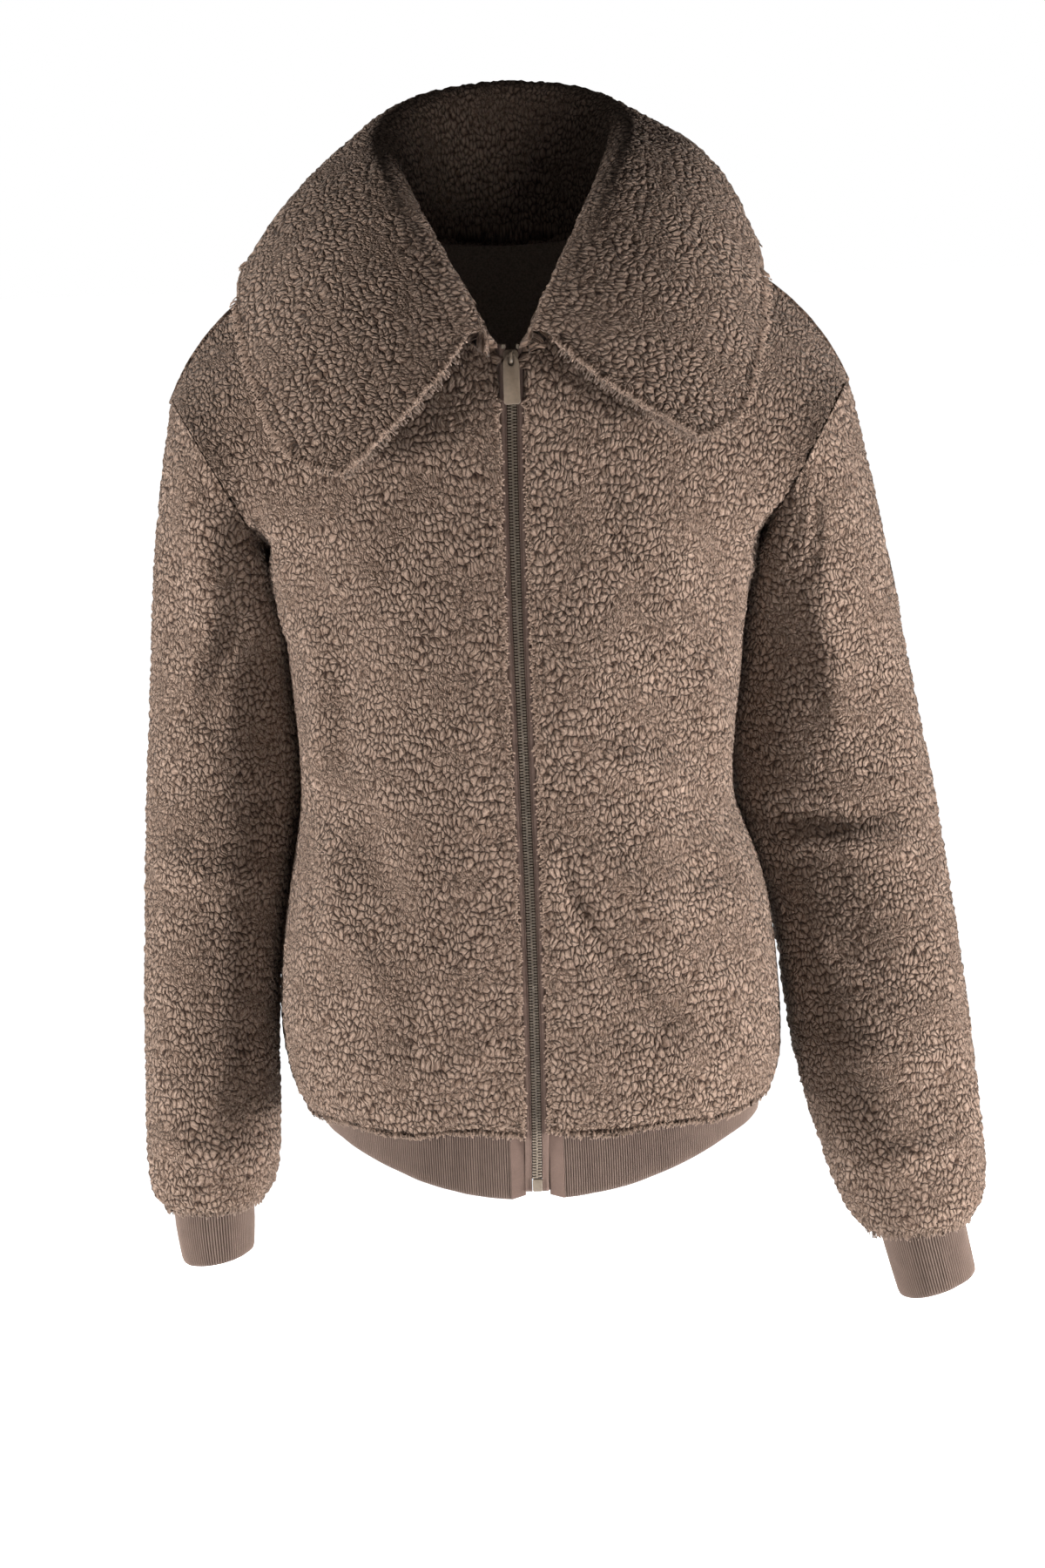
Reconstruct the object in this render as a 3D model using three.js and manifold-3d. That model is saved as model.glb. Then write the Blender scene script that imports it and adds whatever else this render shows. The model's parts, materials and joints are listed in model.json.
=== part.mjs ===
// Sherpa fleece jacket with a wide fold-down collar, dropped sleeves, rib hem and cuffs, and a front zip.
// Units are millimetres. +Z is up, the front faces -Y and +X is the wearer's left side.
// The origin is the centre of the neck base, level with the shoulder neck points.
// Each cloth panel is a grid of outer points; its wall goes inwards along the shared normals of all panels,
// so that neighbouring panels meet along common seams, SEAM_GAP apart.
import * as THREE from 'three';
import { mergeVertices } from 'three/addons/utils/BufferGeometryUtils.js';
import Module from 'manifold-3d';

const wasm = await Module();
wasm.setup();

// A table's rows as objects with named columns.
function table(columns, rows) {
  const names = columns.split(' ');
  return rows.map((row) => Object.fromEntries(names.map((name, i) => [name, row[i]])));
}

// ---------------------------------------------------------------- driving dimensions
const SEAM_GAP = 0.3; // between two sewn pieces
const FLEECE = 7.5; // wall of backing and pile together
const COLLAR_THICK = 13; // two layers of fleece
const RIB_WALL = 3.2; // knit rib, crest to inside
const RIB_RELIEF = 0.9; // crest above groove
const FRONT_EDGE = 8.4; // fleece edge from the zip line
const ZIP_X = 1.5; // the zip line lies a little towards the wearer's left
const ZIP_SINK = 4.2; // zip face behind the fleece face

const FRONT_COLS = 10; // grid steps from the zip to the side seam, and along the shoulder seam
const NECK_COLS = 3; // grid steps along the back neckline, from its middle to a shoulder seam
const YOKE_STEPS = 10; // grid steps from the armpit up to the shoulder seam
const SLEEVE_COLS = 2 * YOKE_STEPS; // grid steps round a sleeve
const SLEEVE_ROWS = 20; // grid steps down a sleeve
const SLEEVE_HEAD_ROWS = 4; // rings over which the armhole loop becomes an oval ring

const CLOTH = { color: 0x957d6f, roughness: 1, metalness: 0 };
const KNIT = { color: 0x84695f, roughness: 0.9, metalness: 0 };
const TAPE = { color: 0x6c5148, roughness: 0.85, metalness: 0 };
const TEETH = { color: 0x7d6f60, roughness: 0.5, metalness: 0 };
const METAL = { color: 0x8b7b68, roughness: 0.38, metalness: 0.45 };

// Horizontal sections of the body below the armpits, outer face. `right` and `left` are the half widths on
// the wearer's sides, `front` and `back` the depths, `tuck` how far the section rises at the sides. The first
// rows are the edge turned in above the hem rib.
const BODY = table('z right left front back tuck', [
  [-612, 155, 164, 119, 112, 22],
  [-622, 162, 172, 123, 118, 3],
  [-616, 172, 180, 127, 124, 1],
  [-592, 180, 185, 130, 128, 0],
  [-560, 184, 185, 133, 129, 0],
  [-520, 183, 183, 135, 126, 0],
  [-470, 175, 178, 135, 119, 0],
  [-430, 168, 165, 134, 114, 0],
  [-395, 161, 151, 133, 112, 0],
  [-350, 162, 156, 133, 113, 0],
  [-300, 166, 163, 134, 118, 0],
  [-250, 170, 166, 133, 123, 0],
  [-208, 176, 173, 130, 126, 0],
]);
const SECTION_POWER = 2.25; // fullness of a body section between an oval (2) and a box

// The shoulder seam from the neck point to the sleeve, on one side: the control points of one curve.
const SHOULDER = [[76, 2, 10], [150, 2, 11], [219, 2, -34], [244, 2, -97]];

// The fronts from the armpit level up to the shoulder seam: the edge along the zip and the neckline (neck...)
// and the armhole edge (arm...), x measured outwards.
const YOKE_FRONT = table('neckX neckY neckZ armX armY armZ', [
  [0, -130, -208, 176, 0, -208],
  [0, -126, -160, 190, -56, -186],
  [0, -112, -66, 211, -72, -146],
  [44, -93, -40, 228, -56, -118],
  [70, -46, -10, 240, -28, -101],
  [76, 2, 10, 244, 2, -97],
]);
// The back in the same way: its middle line (mid...) and its armhole edge (arm...).
const YOKE_BACK = table('midY midZ armX armY armZ', [
  [126, -208, 176, 0, -208],
  [123, -160, 191, 60, -184],
  [115, -110, 212, 76, -143],
  [103, -60, 229, 60, -116],
  [90, -22, 239, 32, -102],
  [80, 5, 244, 2, -97],
]);
const BACK_SWELL = 9; // how far the shoulder blades round the back out
const FRONT_SWELL = 11; // and the chest the fronts
const MIDDLE_REACH = 1.3; // how fast the middle edge's course fades across a panel
const ARM_REACH = 3.2; // and the armhole's

// Rings of the sleeves: `inner` and `outer` are x and z of the ring's two ends seen from the front, measured
// outwards; `mid` is the y of its centre and `deep` its half depth.
const SLEEVE_RIGHT = table('innerX innerZ outerX outerZ mid deep', [
  [183, -222, 253, -121, 5, 73],
  [180, -241, 260, -176, 12, 71],
  [169, -268, 266, -236, 26, 67],
  [163, -306, 272, -294, 37, 64],
  [157, -362, 279, -360, 43, 62],
  [166, -430, 284, -432, 41, 61],
  [181, -500, 287, -502, 33, 60],
  [187, -570, 289, -572, 20, 59],
  [188, -630, 290, -634, 14, 58],
  [190, -668, 290, -672, 9, 56],
  [196, -686, 285, -690, 6, 51],
  [206, -694, 276, -697, 4, 42],
  [211, -686, 272, -690, 4, 37],
]);
const SLEEVE_LEFT = table('innerX innerZ outerX outerZ mid deep', [
  [181, -222, 260, -124, 5, 73],
  [176, -243, 267, -182, 13, 69],
  [166, -272, 278, -246, 26, 65],
  [159, -310, 288, -300, 38, 61],
  [151, -364, 300, -360, 46, 59],
  [156, -418, 311, -420, 45, 57],
  [180, -485, 319, -487, 34, 56],
  [188, -550, 327, -552, 22, 55],
  [197, -615, 333, -617, 16, 54],
  [214, -670, 338, -672, 10, 53],
  [224, -703, 338, -703, 6, 52],
  [238, -726, 330, -719, 3, 47],
  [249, -733, 323, -725, 2, 40],
  [254, -725, 319, -717, 2, 36],
]);

// Cuffs: rings in the same terms as the sleeves.
const CUFF_RIGHT = table('innerX innerZ outerX outerZ mid deep', [
  [211.4, -686.4, 271.4, -690.4, 4, 36.6],
  [211, -710, 270, -714, 2, 36],
  [212, -732, 266, -740, 0, 34],
]);
const CUFF_LEFT = table('innerX innerZ outerX outerZ mid deep', [
  [254.4, -725.4, 318.6, -717.4, 2, 35.6],
  [262, -755, 323, -742, 0, 35],
  [270, -784, 328, -767, -2, 33],
]);
const CUFF_RIBS = 24;

// Hem rib: sections from its seam down, in the terms of BODY; `dip` is how far the middle front hangs lower.
const HEM = table('z right left front back dip tuck', [
  [-612.6, 154.4, 163.4, 118.6, 111.6, 0, 21],
  [-629, 155, 167, 119, 113, 10, 15],
  [-645, 154, 168, 117, 112, 26, 12],
]);
const HEM_RIBS = 96;
const HEM_END = 19; // where the ribs stop on each side of the zip
const FACING = { columns: 2, rows: 4, behind: 0.4, lower: 1, wall: 2.6 }; // plain strip there
const HEM_WAVE = 2; // unevenness of the fleece's rolled lower edge

// Collar sections from the middle back round to the front end, on one side, x measured outwards: its seam at
// the neck, the crest of its roll and its outer edge, on the middle of its thickness. `bulge` swells the fall
// up and out, `puff` forwards.
const COLLAR_RIGHT = table('neckX neckY neckZ rollX rollY rollZ edgeX edgeY edgeZ bulge puff', [
  [0, 77, 14, 0, 83, 118, 0, 142, -38, 14, 0],
  [38, 71, 13, 46, 76, 113, 88, 128, -33, 15, 0],
  [66, 44, 12, 80, 48, 98, 154, 94, -14, 13, 0],
  [74, 4, 11, 90, 8, 80, 187, 22, -8, 9, 0],
  [68, -40, -6, 84, -36, 61, 188, -38, -44, 12, 2],
  [51, -77, -29, 68, -74, 28, 172, -90, -96, 9, 6],
  [30, -101, -51, 43, -105, -18, 153, -117, -134, 2, 8],
  [14, -111, -62, 23, -120, -54, 115, -136, -146, -4, 8],
]);
const COLLAR_LEFT = table('neckX neckY neckZ rollX rollY rollZ edgeX edgeY edgeZ bulge puff', [
  [0, 77, 14, 0, 83, 118, 0, 142, -38, 14, 0],
  [38, 71, 13, 48, 76, 114, 88, 128, -31, 16, 0],
  [66, 44, 12, 80, 48, 101, 152, 92, -10, 21, 0],
  [74, 4, 11, 91, 8, 84, 178, 22, 0, 19, 0],
  [68, -40, -6, 83, -36, 60, 180, -38, -36, 15, 2],
  [51, -77, -29, 66, -74, 26, 171, -88, -82, 10, 6],
  [30, -101, -51, 43, -105, -18, 158, -113, -116, 3, 8],
  [14, -111, -62, 23, -120, -54, 129, -134, -129, -4, 8],
]);
const COLLAR_STEPS = 17; // grid steps from the middle back to one front end
const ROLL_RADIUS = 11; // of the fold at the top, smaller where the stand is low
const ROLL_LEAST = 7.4;
const ROLL_ON_STAND = 0.55;
const STAND_STEPS = [0, 0.36, 0.72]; // grid rows up the stand
const ROLL_TURNS = [12, 52, 90, 128]; // and over the fold, in degrees
const FALL_FROM = 150; // where the fall leaves the fold, in degrees
const FALL_STEPS = [0.06, 0.28, 0.5, 0.75, 1]; // and down the fall
const COLLAR_RIM = 0.8; // the thickness left at the collar's edges, of the whole

// Soft folds pressed into the cloth: a straight valley between two points of the outer face, seen from the
// front (x, z), with its half width and depth; a negative depth is a ridge. `on` picks front, back or both.
const BODY_FOLDS = table('x0 z0 x1 z1 half depth on', [
  [86, -268, 128, -402, 17, 6, 'front'],
  [-118, -250, -96, -330, 18, 4, 'front'],
  [46, -402, 72, -446, 15, 5, 'front'],
  [58, -484, 96, -566, 17, 7, 'front'],
  [30, -500, 62, -590, 18, -4, 'front'],
  [118, -455, 150, -560, 22, 6, 'front'],
  [-40, -400, -78, -560, 26, -5, 'front'],
  [-112, -405, -100, -560, 22, 5, 'front'],
  [-150, -215, -118, -330, 18, 6, 'front'],
  [150, -215, 112, -320, 18, 6, 'front'],
  [-150, -215, -70, -300, 20, 7, 'back'],
  [150, -215, 74, -320, 20, 7, 'back'],
  [-60, -420, -84, -580, 22, 6, 'back'],
  [66, -410, 78, -585, 24, 6, 'back'],
  [4, -390, 0, -560, 24, -5, 'back'],
]);
// Folds along the sleeves: `turn` is the place round the sleeve in degrees (0 inner, 90 front, 180 outer,
// 270 back), `z0` and `z1` the ends, `sway` how far the fold wanders in degrees.
const RIGHT_SLEEVE_FOLDS = table('turn z0 z1 halfTurn depth sway', [
  [118, -120, -300, 15, 7, 6],
  [152, -130, -330, 14, -4, 4],
  [62, -235, -420, 18, 6, -12],
  [98, -470, -610, 18, 4, 16],
  [262, -170, -400, 18, 7, -10],
  [230, -440, -600, 20, 5, 12],
]);
const LEFT_SLEEVE_FOLDS = table('turn z0 z1 halfTurn depth sway', [
  [60, -190, -340, 16, 7, 12],
  [96, -150, -300, 16, -4, 6],
  [75, -380, -560, 18, 5, 18],
  [120, -560, -690, 18, 4, -8],
  [268, -170, -410, 18, 7, -12],
  [232, -460, -640, 20, 5, 10],
]);

// Zip hardware.
const CHAIN_HALF = 3.5;
const CHAIN_THICK = 2.8;
const CHAIN_AHEAD = 0.8; // of the tapes' face
const TAPE_THICK = 1.2;
const ZIP_ROWS = 34;
const ZIP_TOP = -62; // upper ends of the tapes
const ZIP_BOTTOM = -664; // lower end of the chain's box
const BOX = { wide: 6.9, tall: 9, thick: 4, ahead: 1.6, corner: 1 };
const HEM_ZIP = { aside: 5.5, tall: 34, ahead: 1.4 }; // where the zip runs over the rib band
const SLIDER_TOP = -66.5;
const SLIDER = { tall: 11.5, wideTop: 10.6, wideBottom: 8.2, thick: 5.2 };
const BRIDGE = { tall: 8.4, out: 4.3, wide: 2.1, bar: 1.2, top: -1.3, foot: 1.4 };
const TAB_OUT = 1.9; // the hinge's axis in front of the slider's face
const TAB_DOWN = 4; // and below its top
const TAB = { wide: 11.4, tall: 34, thick: 1.5, windowWide: 4.6, windowTall: 7.6, bar: 1.5 };

// Pocket slit on the outer side of the wearer's left sleeve, in a recess of its own.
const POCKET = { z: -222, tall: 58, wide: 11, ahead: 3, recess: 6, plate: 2.2, slit: 1.8, slitDeep: 1.2 };
const STOP = { wide: 2.6, thick: 2.6, tall: 3.4 }; // top stops of the zip

// ---------------------------------------------------------------- small helpers
const V = (x, y, z) => new THREE.Vector3(x, y, z);
const clamp01 = (t) => Math.min(1, Math.max(0, t));
const smooth = (t) => clamp01(t) ** 2 * (3 - 2 * clamp01(t));

// Reads a table of rows as a smooth curve; t runs from 0 at the first row to 1 at the last.
function between(table, t) {
  const place = clamp01(t) * (table.length - 1);
  const i = Math.min(table.length - 2, Math.floor(place));
  const f = place - i;
  const row = (k) => table[Math.min(table.length - 1, Math.max(0, k))];
  const out = {};
  for (const key of Object.keys(table[0])) {
    const [a, b, c, d] = [row(i - 1)[key], row(i)[key], row(i + 1)[key], row(i + 2)[key]];
    out[key] = b + 0.5 * f * (c - a + f * (2 * a - 5 * b + 4 * c - d + f * (3 * (b - c) + d - a)));
  }
  return out;
}

// Finds where a table's column passes a value, for a column that falls or rises all the way from row `from`.
function placeOf(table, key, value, from = 0) {
  let [low, high] = [from / (table.length - 1), 1];
  const rising = table[table.length - 1][key] > table[from][key];
  for (let i = 0; i < 40; i++) {
    const mid = (low + high) / 2;
    if ((between(table, mid)[key] < value) === rising) low = mid;
    else high = mid;
  }
  return (low + high) / 2;
}

function bezier(a, b, c, d, t) {
  const s = 1 - t;
  return V(0, 0, 0)
    .addScaledVector(a, s * s * s)
    .addScaledVector(b, 3 * s * s * t)
    .addScaledVector(c, 3 * s * t * t)
    .addScaledVector(d, t * t * t);
}

function meshGeometry(points, triangles) {
  const geometry = new THREE.BufferGeometry();
  const numbers = points.flatMap((p) => [p.x, p.y, p.z]);
  geometry.setAttribute('position', new THREE.Float32BufferAttribute(numbers, 3));
  geometry.setIndex(triangles);
  return outwards(geometry);
}

// Turns the faces of a closed geometry outwards.
function outwards(geometry) {
  const p = geometry.getAttribute('position');
  const index = Array.from(geometry.getIndex().array);
  const corner = (i) => V(p.getX(index[i]), p.getY(index[i]), p.getZ(index[i]));
  let volume = 0;
  for (let i = 0; i < index.length; i += 3) volume += corner(i).dot(corner(i + 1).cross(corner(i + 2)));
  if (volume < 0) {
    for (let i = 0; i < index.length; i += 3) [index[i], index[i + 1]] = [index[i + 1], index[i]];
    geometry.setIndex(index);
  }
  return geometry;
}

// ---------------------------------------------------------------- booleans
function solidOf(geometry) {
  const bare = geometry.clone();
  bare.deleteAttribute('normal');
  bare.deleteAttribute('uv');
  const merged = mergeVertices(bare, 1e-4);
  return new wasm.Manifold(new wasm.Mesh({
    numProp: 3,
    vertProperties: new Float32Array(merged.getAttribute('position').array),
    triVerts: new Uint32Array(merged.getIndex().array),
  }));
}

function geometryOf(solid) {
  const mesh = solid.getMesh();
  const geometry = new THREE.BufferGeometry();
  geometry.setAttribute('position', new THREE.Float32BufferAttribute(Array.from(mesh.vertProperties), 3));
  geometry.setIndex(Array.from(mesh.triVerts));
  return geometry;
}

// Takes the cutters out of a geometry and keeps its largest body.
function carve(geometry, cutters) {
  let solid = solidOf(geometry);
  for (const cutter of cutters) solid = solid.subtract(solidOf(cutter));
  const bodies = solid.decompose().sort((a, b) => b.volume() - a.volume());
  return geometryOf(bodies[0]);
}

function join(geometries) {
  return geometryOf(geometries.map(solidOf).reduce((a, b) => a.add(b)));
}

// ---------------------------------------------------------------- walls from grids of points
// A grid is a list of rows of points; `closed` grids wrap from the last column to the first.
const keyOf = (p) => [p.x, p.y, p.z].map((v) => Math.round(v * 500 + 0.137)).join(' ');

// One unit normal for each place, shared by all grids that meet there.
function sharedNormals(grids) {
  const normals = new Map();
  const add = (p, n) => {
    const key = keyOf(p);
    if (!normals.has(key)) normals.set(key, V(0, 0, 0));
    normals.get(key).add(n);
  };
  for (const { rows, closed } of grids) {
    const width = rows[0].length;
    for (let r = 0; r + 1 < rows.length; r++) {
      for (let c = 0; c < (closed ? width : width - 1); c++) {
        const [a, b] = [rows[r][c], rows[r][(c + 1) % width]];
        const [d, e] = [rows[r + 1][c], rows[r + 1][(c + 1) % width]];
        const n = e.clone().sub(a).cross(d.clone().sub(b)).normalize();
        [a, b, d, e].forEach((p) => add(p, n));
      }
    }
  }
  normals.forEach((n) => n.normalize());
  return normals;
}

// Along the zip the walls go straight back, so that the two front edges stay parallel.
function squareToFront(normal, p) {
  if (Math.abs(p.x) < 2 * FRONT_EDGE) normal.setX(0).normalize();
}

// Draws the border points of a grid in by `by`, square to the border, on the chosen sides.
function drawnIn(rows, sides, by) {
  const out = rows.map((row) => row.map((p) => p.clone()));
  const height = rows.length;
  const width = rows[0].length;
  const move = (r, c, inR, inC, alongR, alongC) => {
    const at = (i, j) => rows[Math.min(height - 1, Math.max(0, i))][Math.min(width - 1, Math.max(0, j))];
    const along = at(r + alongR, c + alongC).clone().sub(at(r - alongR, c - alongC)).normalize();
    const inward = at(inR, inC).clone().sub(rows[r][c]);
    inward.addScaledVector(along, -inward.dot(along)).normalize();
    out[r][c].addScaledVector(inward, by);
  };
  for (let c = 0; c < width; c++) {
    if (sides.includes('bottom')) move(0, c, 1, c, 0, 1);
    if (sides.includes('top')) move(height - 1, c, height - 2, c, 0, 1);
  }
  for (let r = 0; r < height; r++) {
    if (sides.includes('start')) move(r, 0, r, 1, 1, 0);
    if (sides.includes('end')) move(r, width - 1, r, width - 2, 1, 0);
  }
  return out;
}

const SPLIT_WAY = new THREE.Vector3(0.31, 0.67, 1);

// A closed wall between two grids of the same size.
function wallSolid(outer, inner, closed = false) {
  const height = outer.length;
  const width = outer[0].length;
  const points = [...outer.flat(), ...inner.flat()];
  const id = (layer, r, c) => layer * height * width + r * width + (c % width);
  const triangles = [];
  const quad = (a, b, c, d) => triangles.push(a, b, c, a, c, d);
  // A border quad has outer points a and d. Its diagonal leaves the one further along SPLIT_WAY, so that two
  // pieces split the seam they share in the same way.
  const rim = (a, b, c, d) => {
    const fromA = points[a].dot(SPLIT_WAY) > points[d].dot(SPLIT_WAY);
    triangles.push(...(fromA ? [a, b, c, a, c, d] : [b, c, d, b, d, a]));
  };
  const spans = closed ? width : width - 1;
  for (let r = 0; r + 1 < height; r++) {
    for (let c = 0; c < spans; c++) {
      quad(id(0, r, c), id(0, r, c + 1), id(0, r + 1, c + 1), id(0, r + 1, c));
      quad(id(1, r, c), id(1, r + 1, c), id(1, r + 1, c + 1), id(1, r, c + 1));
    }
  }
  for (let c = 0; c < spans; c++) {
    rim(id(0, 0, c), id(1, 0, c), id(1, 0, c + 1), id(0, 0, c + 1));
    rim(id(0, height - 1, c + 1), id(1, height - 1, c + 1), id(1, height - 1, c), id(0, height - 1, c));
  }
  if (!closed) {
    for (let r = 0; r + 1 < height; r++) {
      rim(id(0, r + 1, 0), id(1, r + 1, 0), id(1, r, 0), id(0, r, 0));
      rim(id(0, r, width - 1), id(1, r, width - 1), id(1, r + 1, width - 1), id(0, r + 1, width - 1));
    }
  }
  return meshGeometry(points, triangles);
}

function shifted(rows, normals, by) {
  return rows.map((row) => row.map((p) => p.clone().addScaledVector(normals.get(keyOf(p)), by)));
}

// A cloth panel: its wall runs from `out` outside the grid to `thick` inside it.
function panel({ rows, closed = false }, normals, thick, seams, out = 0, gap = SEAM_GAP) {
  const outer = drawnIn(shifted(rows, normals, out), seams, gap / 2);
  const inner = drawnIn(shifted(rows, normals, -thick), seams, gap / 2);
  return wallSolid(outer, inner, closed);
}

// ---------------------------------------------------------------- the body's surface
// The zip wanders a little on its way down, and the front edges follow it.
function zipX(z) {
  return ZIP_X + 1.3 * Math.sin((z + 60) / 95) * smooth((-80 - z) / 60);
}

function frontStart(side, z) {
  return FRONT_EDGE + side * zipX(z);
}

// A quarter of a horizontal body section from the middle (t = 0) to the side seam (t = 1).
function sectionPoint(side, half, depth, z, start, t) {
  const from = Math.asin(clamp01(start / half) ** (SECTION_POWER / 2));
  const angle = from + (Math.PI / 2 - from) * t;
  const x = half * Math.sin(angle) ** (2 / SECTION_POWER);
  const y = depth * Math.max(0, Math.cos(angle)) ** (2 / SECTION_POWER);
  return V(side * x, y, z);
}

function lowerRow(side, front, t, columns) {
  const row = between(BODY, t);
  const start = front ? frontStart(side, row.z) : 0;
  const half = side < 0 ? row.right : row.left;
  const depth = front ? -row.front : row.back;
  const wave = HEM_WAVE * smooth(t * 14) * (1 - smooth((t - 0.1) * 6));
  return Array.from({ length: columns + 1 }, (_, c) => {
    const p = sectionPoint(side, half, depth, row.z, start, c / columns);
    p.z += row.tuck * (p.x / half) ** 2;
    p.z += wave * (Math.sin(p.x * 0.075 + side) + 0.6 * Math.sin(p.x * 0.031 + 2));
    return p;
  });
}

// The armpits lie at the body's sides, which differ a little.
function armEdge(side, row, t) {
  const nearer = side > 0 ? BODY.at(-1).right - BODY.at(-1).left : 0;
  return V(side * (row.armX - nearer * (1 - smooth(t * 3))), row.armY, row.armZ);
}

function shoulderSeam(side) {
  const [neck, first, second, arm] = SHOULDER.map(([x, y, z]) => V(side * x, y, z));
  return Array.from({ length: FRONT_COLS + 1 }, (_, c) => bezier(neck, first, second, arm, c / FRONT_COLS));
}

// The upper half of a panel on one side, spanned between four borders: the row at armpit level, the `top`
// row, the edge on the middle's side and the armhole. `swell` rounds it out.
function yoke(armpitRow, top, middleAt, armAt, swell) {
  const last = top.length - 1;
  const rows = [];
  for (let k = 1; k <= YOKE_STEPS; k++) {
    const v = k / YOKE_STEPS;
    const [mid, arm] = [middleAt(v), armAt(v)];
    const straight = (c) => armpitRow[c].clone().lerp(top[c], v);
    const midOff = mid.sub(straight(0));
    const armOff = arm.sub(straight(last));
    rows.push(top.map((_, c) => {
      const u = c / last;
      const p = straight(c);
      p.addScaledVector(midOff, (1 - u) ** MIDDLE_REACH);
      p.addScaledVector(armOff, u ** ARM_REACH);
      p.y += swell * Math.sin(Math.PI * u) * Math.sin(Math.PI * v);
      return p;
    }));
  }
  return rows;
}

function frontYoke(side, armpitRow) {
  const middleAt = (v) => {
    const row = between(YOKE_FRONT, v);
    return V(side * Math.max(row.neckX, frontStart(side, row.neckZ)), row.neckY, row.neckZ);
  };
  const armAt = (v) => armEdge(side, between(YOKE_FRONT, v), v);
  return yoke(armpitRow, shoulderSeam(side), middleAt, armAt, -FRONT_SWELL);
}

function backYoke(side, armpitRow) {
  const shoulder = shoulderSeam(side);
  const neck = shoulder[0];
  const nape = V(0, YOKE_BACK.at(-1).midY, YOKE_BACK.at(-1).midZ);
  const flat = V(neck.x * 0.5, nape.y, nape.z + 1);
  const turn = V(neck.x * 0.95, nape.y * 0.6, neck.z);
  const neckline = Array.from({ length: NECK_COLS }, (_, c) => bezier(nape, flat, turn, neck, c / NECK_COLS));
  const middleAt = (v) => V(0, between(YOKE_BACK, v).midY, between(YOKE_BACK, v).midZ);
  const armAt = (v) => armEdge(side, between(YOKE_BACK, v), v);
  return yoke(armpitRow, [...neckline, ...shoulder], middleAt, armAt, BACK_SWELL);
}

// Where the grid's rows lie on the way from the turned-in edge to the armpits, closer at the edge.
const LOWER_TS = [0, 0.05, 0.11, 0.19, 0.27, 0.35, 0.43, 0.51, 0.58, 0.65, 0.72, 0.79, 0.86, 0.93, 1];

function halfFront(side) {
  const rows = LOWER_TS.map((t) => lowerRow(side, true, t, FRONT_COLS));
  return [...rows, ...frontYoke(side, rows.at(-1))];
}

function halfBack(side) {
  const rows = LOWER_TS.map((t) => lowerRow(side, false, t, NECK_COLS + FRONT_COLS));
  return [...rows, ...backYoke(side, rows.at(-1))];
}

function foldDepth(p, folds, front) {
  let sum = 0;
  for (const fold of folds) {
    if ((fold.on === 'front') !== front) continue;
    const [ax, az] = [fold.x1 - fold.x0, fold.z1 - fold.z0];
    const along = ((p.x - fold.x0) * ax + (p.z - fold.z0) * az) / (ax * ax + az * az);
    const near = clamp01(along);
    const off = Math.hypot(p.x - fold.x0 - ax * near, p.z - fold.z0 - az * near);
    sum += fold.depth * Math.exp(-((off / fold.half) ** 2));
  }
  return sum;
}

// Presses the folds into a grid, leaving its rows next to the seams where they are.
function pressed(grid, front) {
  const normals = sharedNormals([grid]);
  return grid.rows.map((row, r) => row.map((p, c) => {
    const edge = smooth(Math.min(c, row.length - 1 - c) / 2) * smooth((r - 1) / 2);
    const depth = foldDepth(p, BODY_FOLDS, front) * edge;
    return p.clone().addScaledVector(normals.get(keyOf(p)), -depth);
  }));
}

function bodyGrids() {
  const frontLeft = { rows: halfFront(1) };
  const frontRight = { rows: halfFront(-1).map((row) => row.reverse()) };
  const backLeft = halfBack(1);
  const backRight = halfBack(-1);
  const back = { rows: backLeft.map((row, r) => [...row.slice().reverse(), ...backRight[r].slice(1)]) };
  frontLeft.rows = pressed(frontLeft, true);
  frontRight.rows = pressed(frontRight, true);
  back.rows = pressed(back, false);
  return { frontLeft, frontRight, back };
}

// ---------------------------------------------------------------- sleeves and cuffs
// A point of a ring of a sleeve or cuff; turns start at the inner side and pass the front first.
function ringPoint(side, row, turn) {
  const x = (row.innerX + row.outerX) / 2 - (Math.cos(turn) * (row.outerX - row.innerX)) / 2;
  const z = (row.innerZ + row.outerZ) / 2 - (Math.cos(turn) * (row.outerZ - row.innerZ)) / 2;
  return V(side * x, row.mid - Math.sin(turn) * row.deep, z);
}

function ring(side, row) {
  return Array.from({ length: SLEEVE_COLS }, (_, c) => ringPoint(side, row, (2 * Math.PI * c) / SLEEVE_COLS));
}

function armholeLoop(side, grids) {
  const front = side > 0 ? grids.frontLeft.rows : grids.frontRight.rows;
  const first = front.length - 1 - YOKE_STEPS;
  const frontEdge = front.slice(first).map((row) => (side > 0 ? row[row.length - 1] : row[0]));
  const backEdge = grids.back.rows.slice(first).map((row) => (side > 0 ? row[0] : row[row.length - 1]));
  return [...frontEdge, ...backEdge.slice(1, -1).reverse()];
}

function sleeveFold(folds, turn, z) {
  let sum = 0;
  for (const fold of folds) {
    const along = clamp01((z - fold.z0) / (fold.z1 - fold.z0));
    const fade = smooth(along * 4) * smooth((1 - along) * 4);
    const middle = fold.turn + fold.sway * (along - 0.5);
    const off = Math.abs(((turn - middle + 540) % 360) - 180);
    sum += fold.depth * fade * Math.exp(-((off / fold.halfTurn) ** 2));
  }
  return sum;
}

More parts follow.
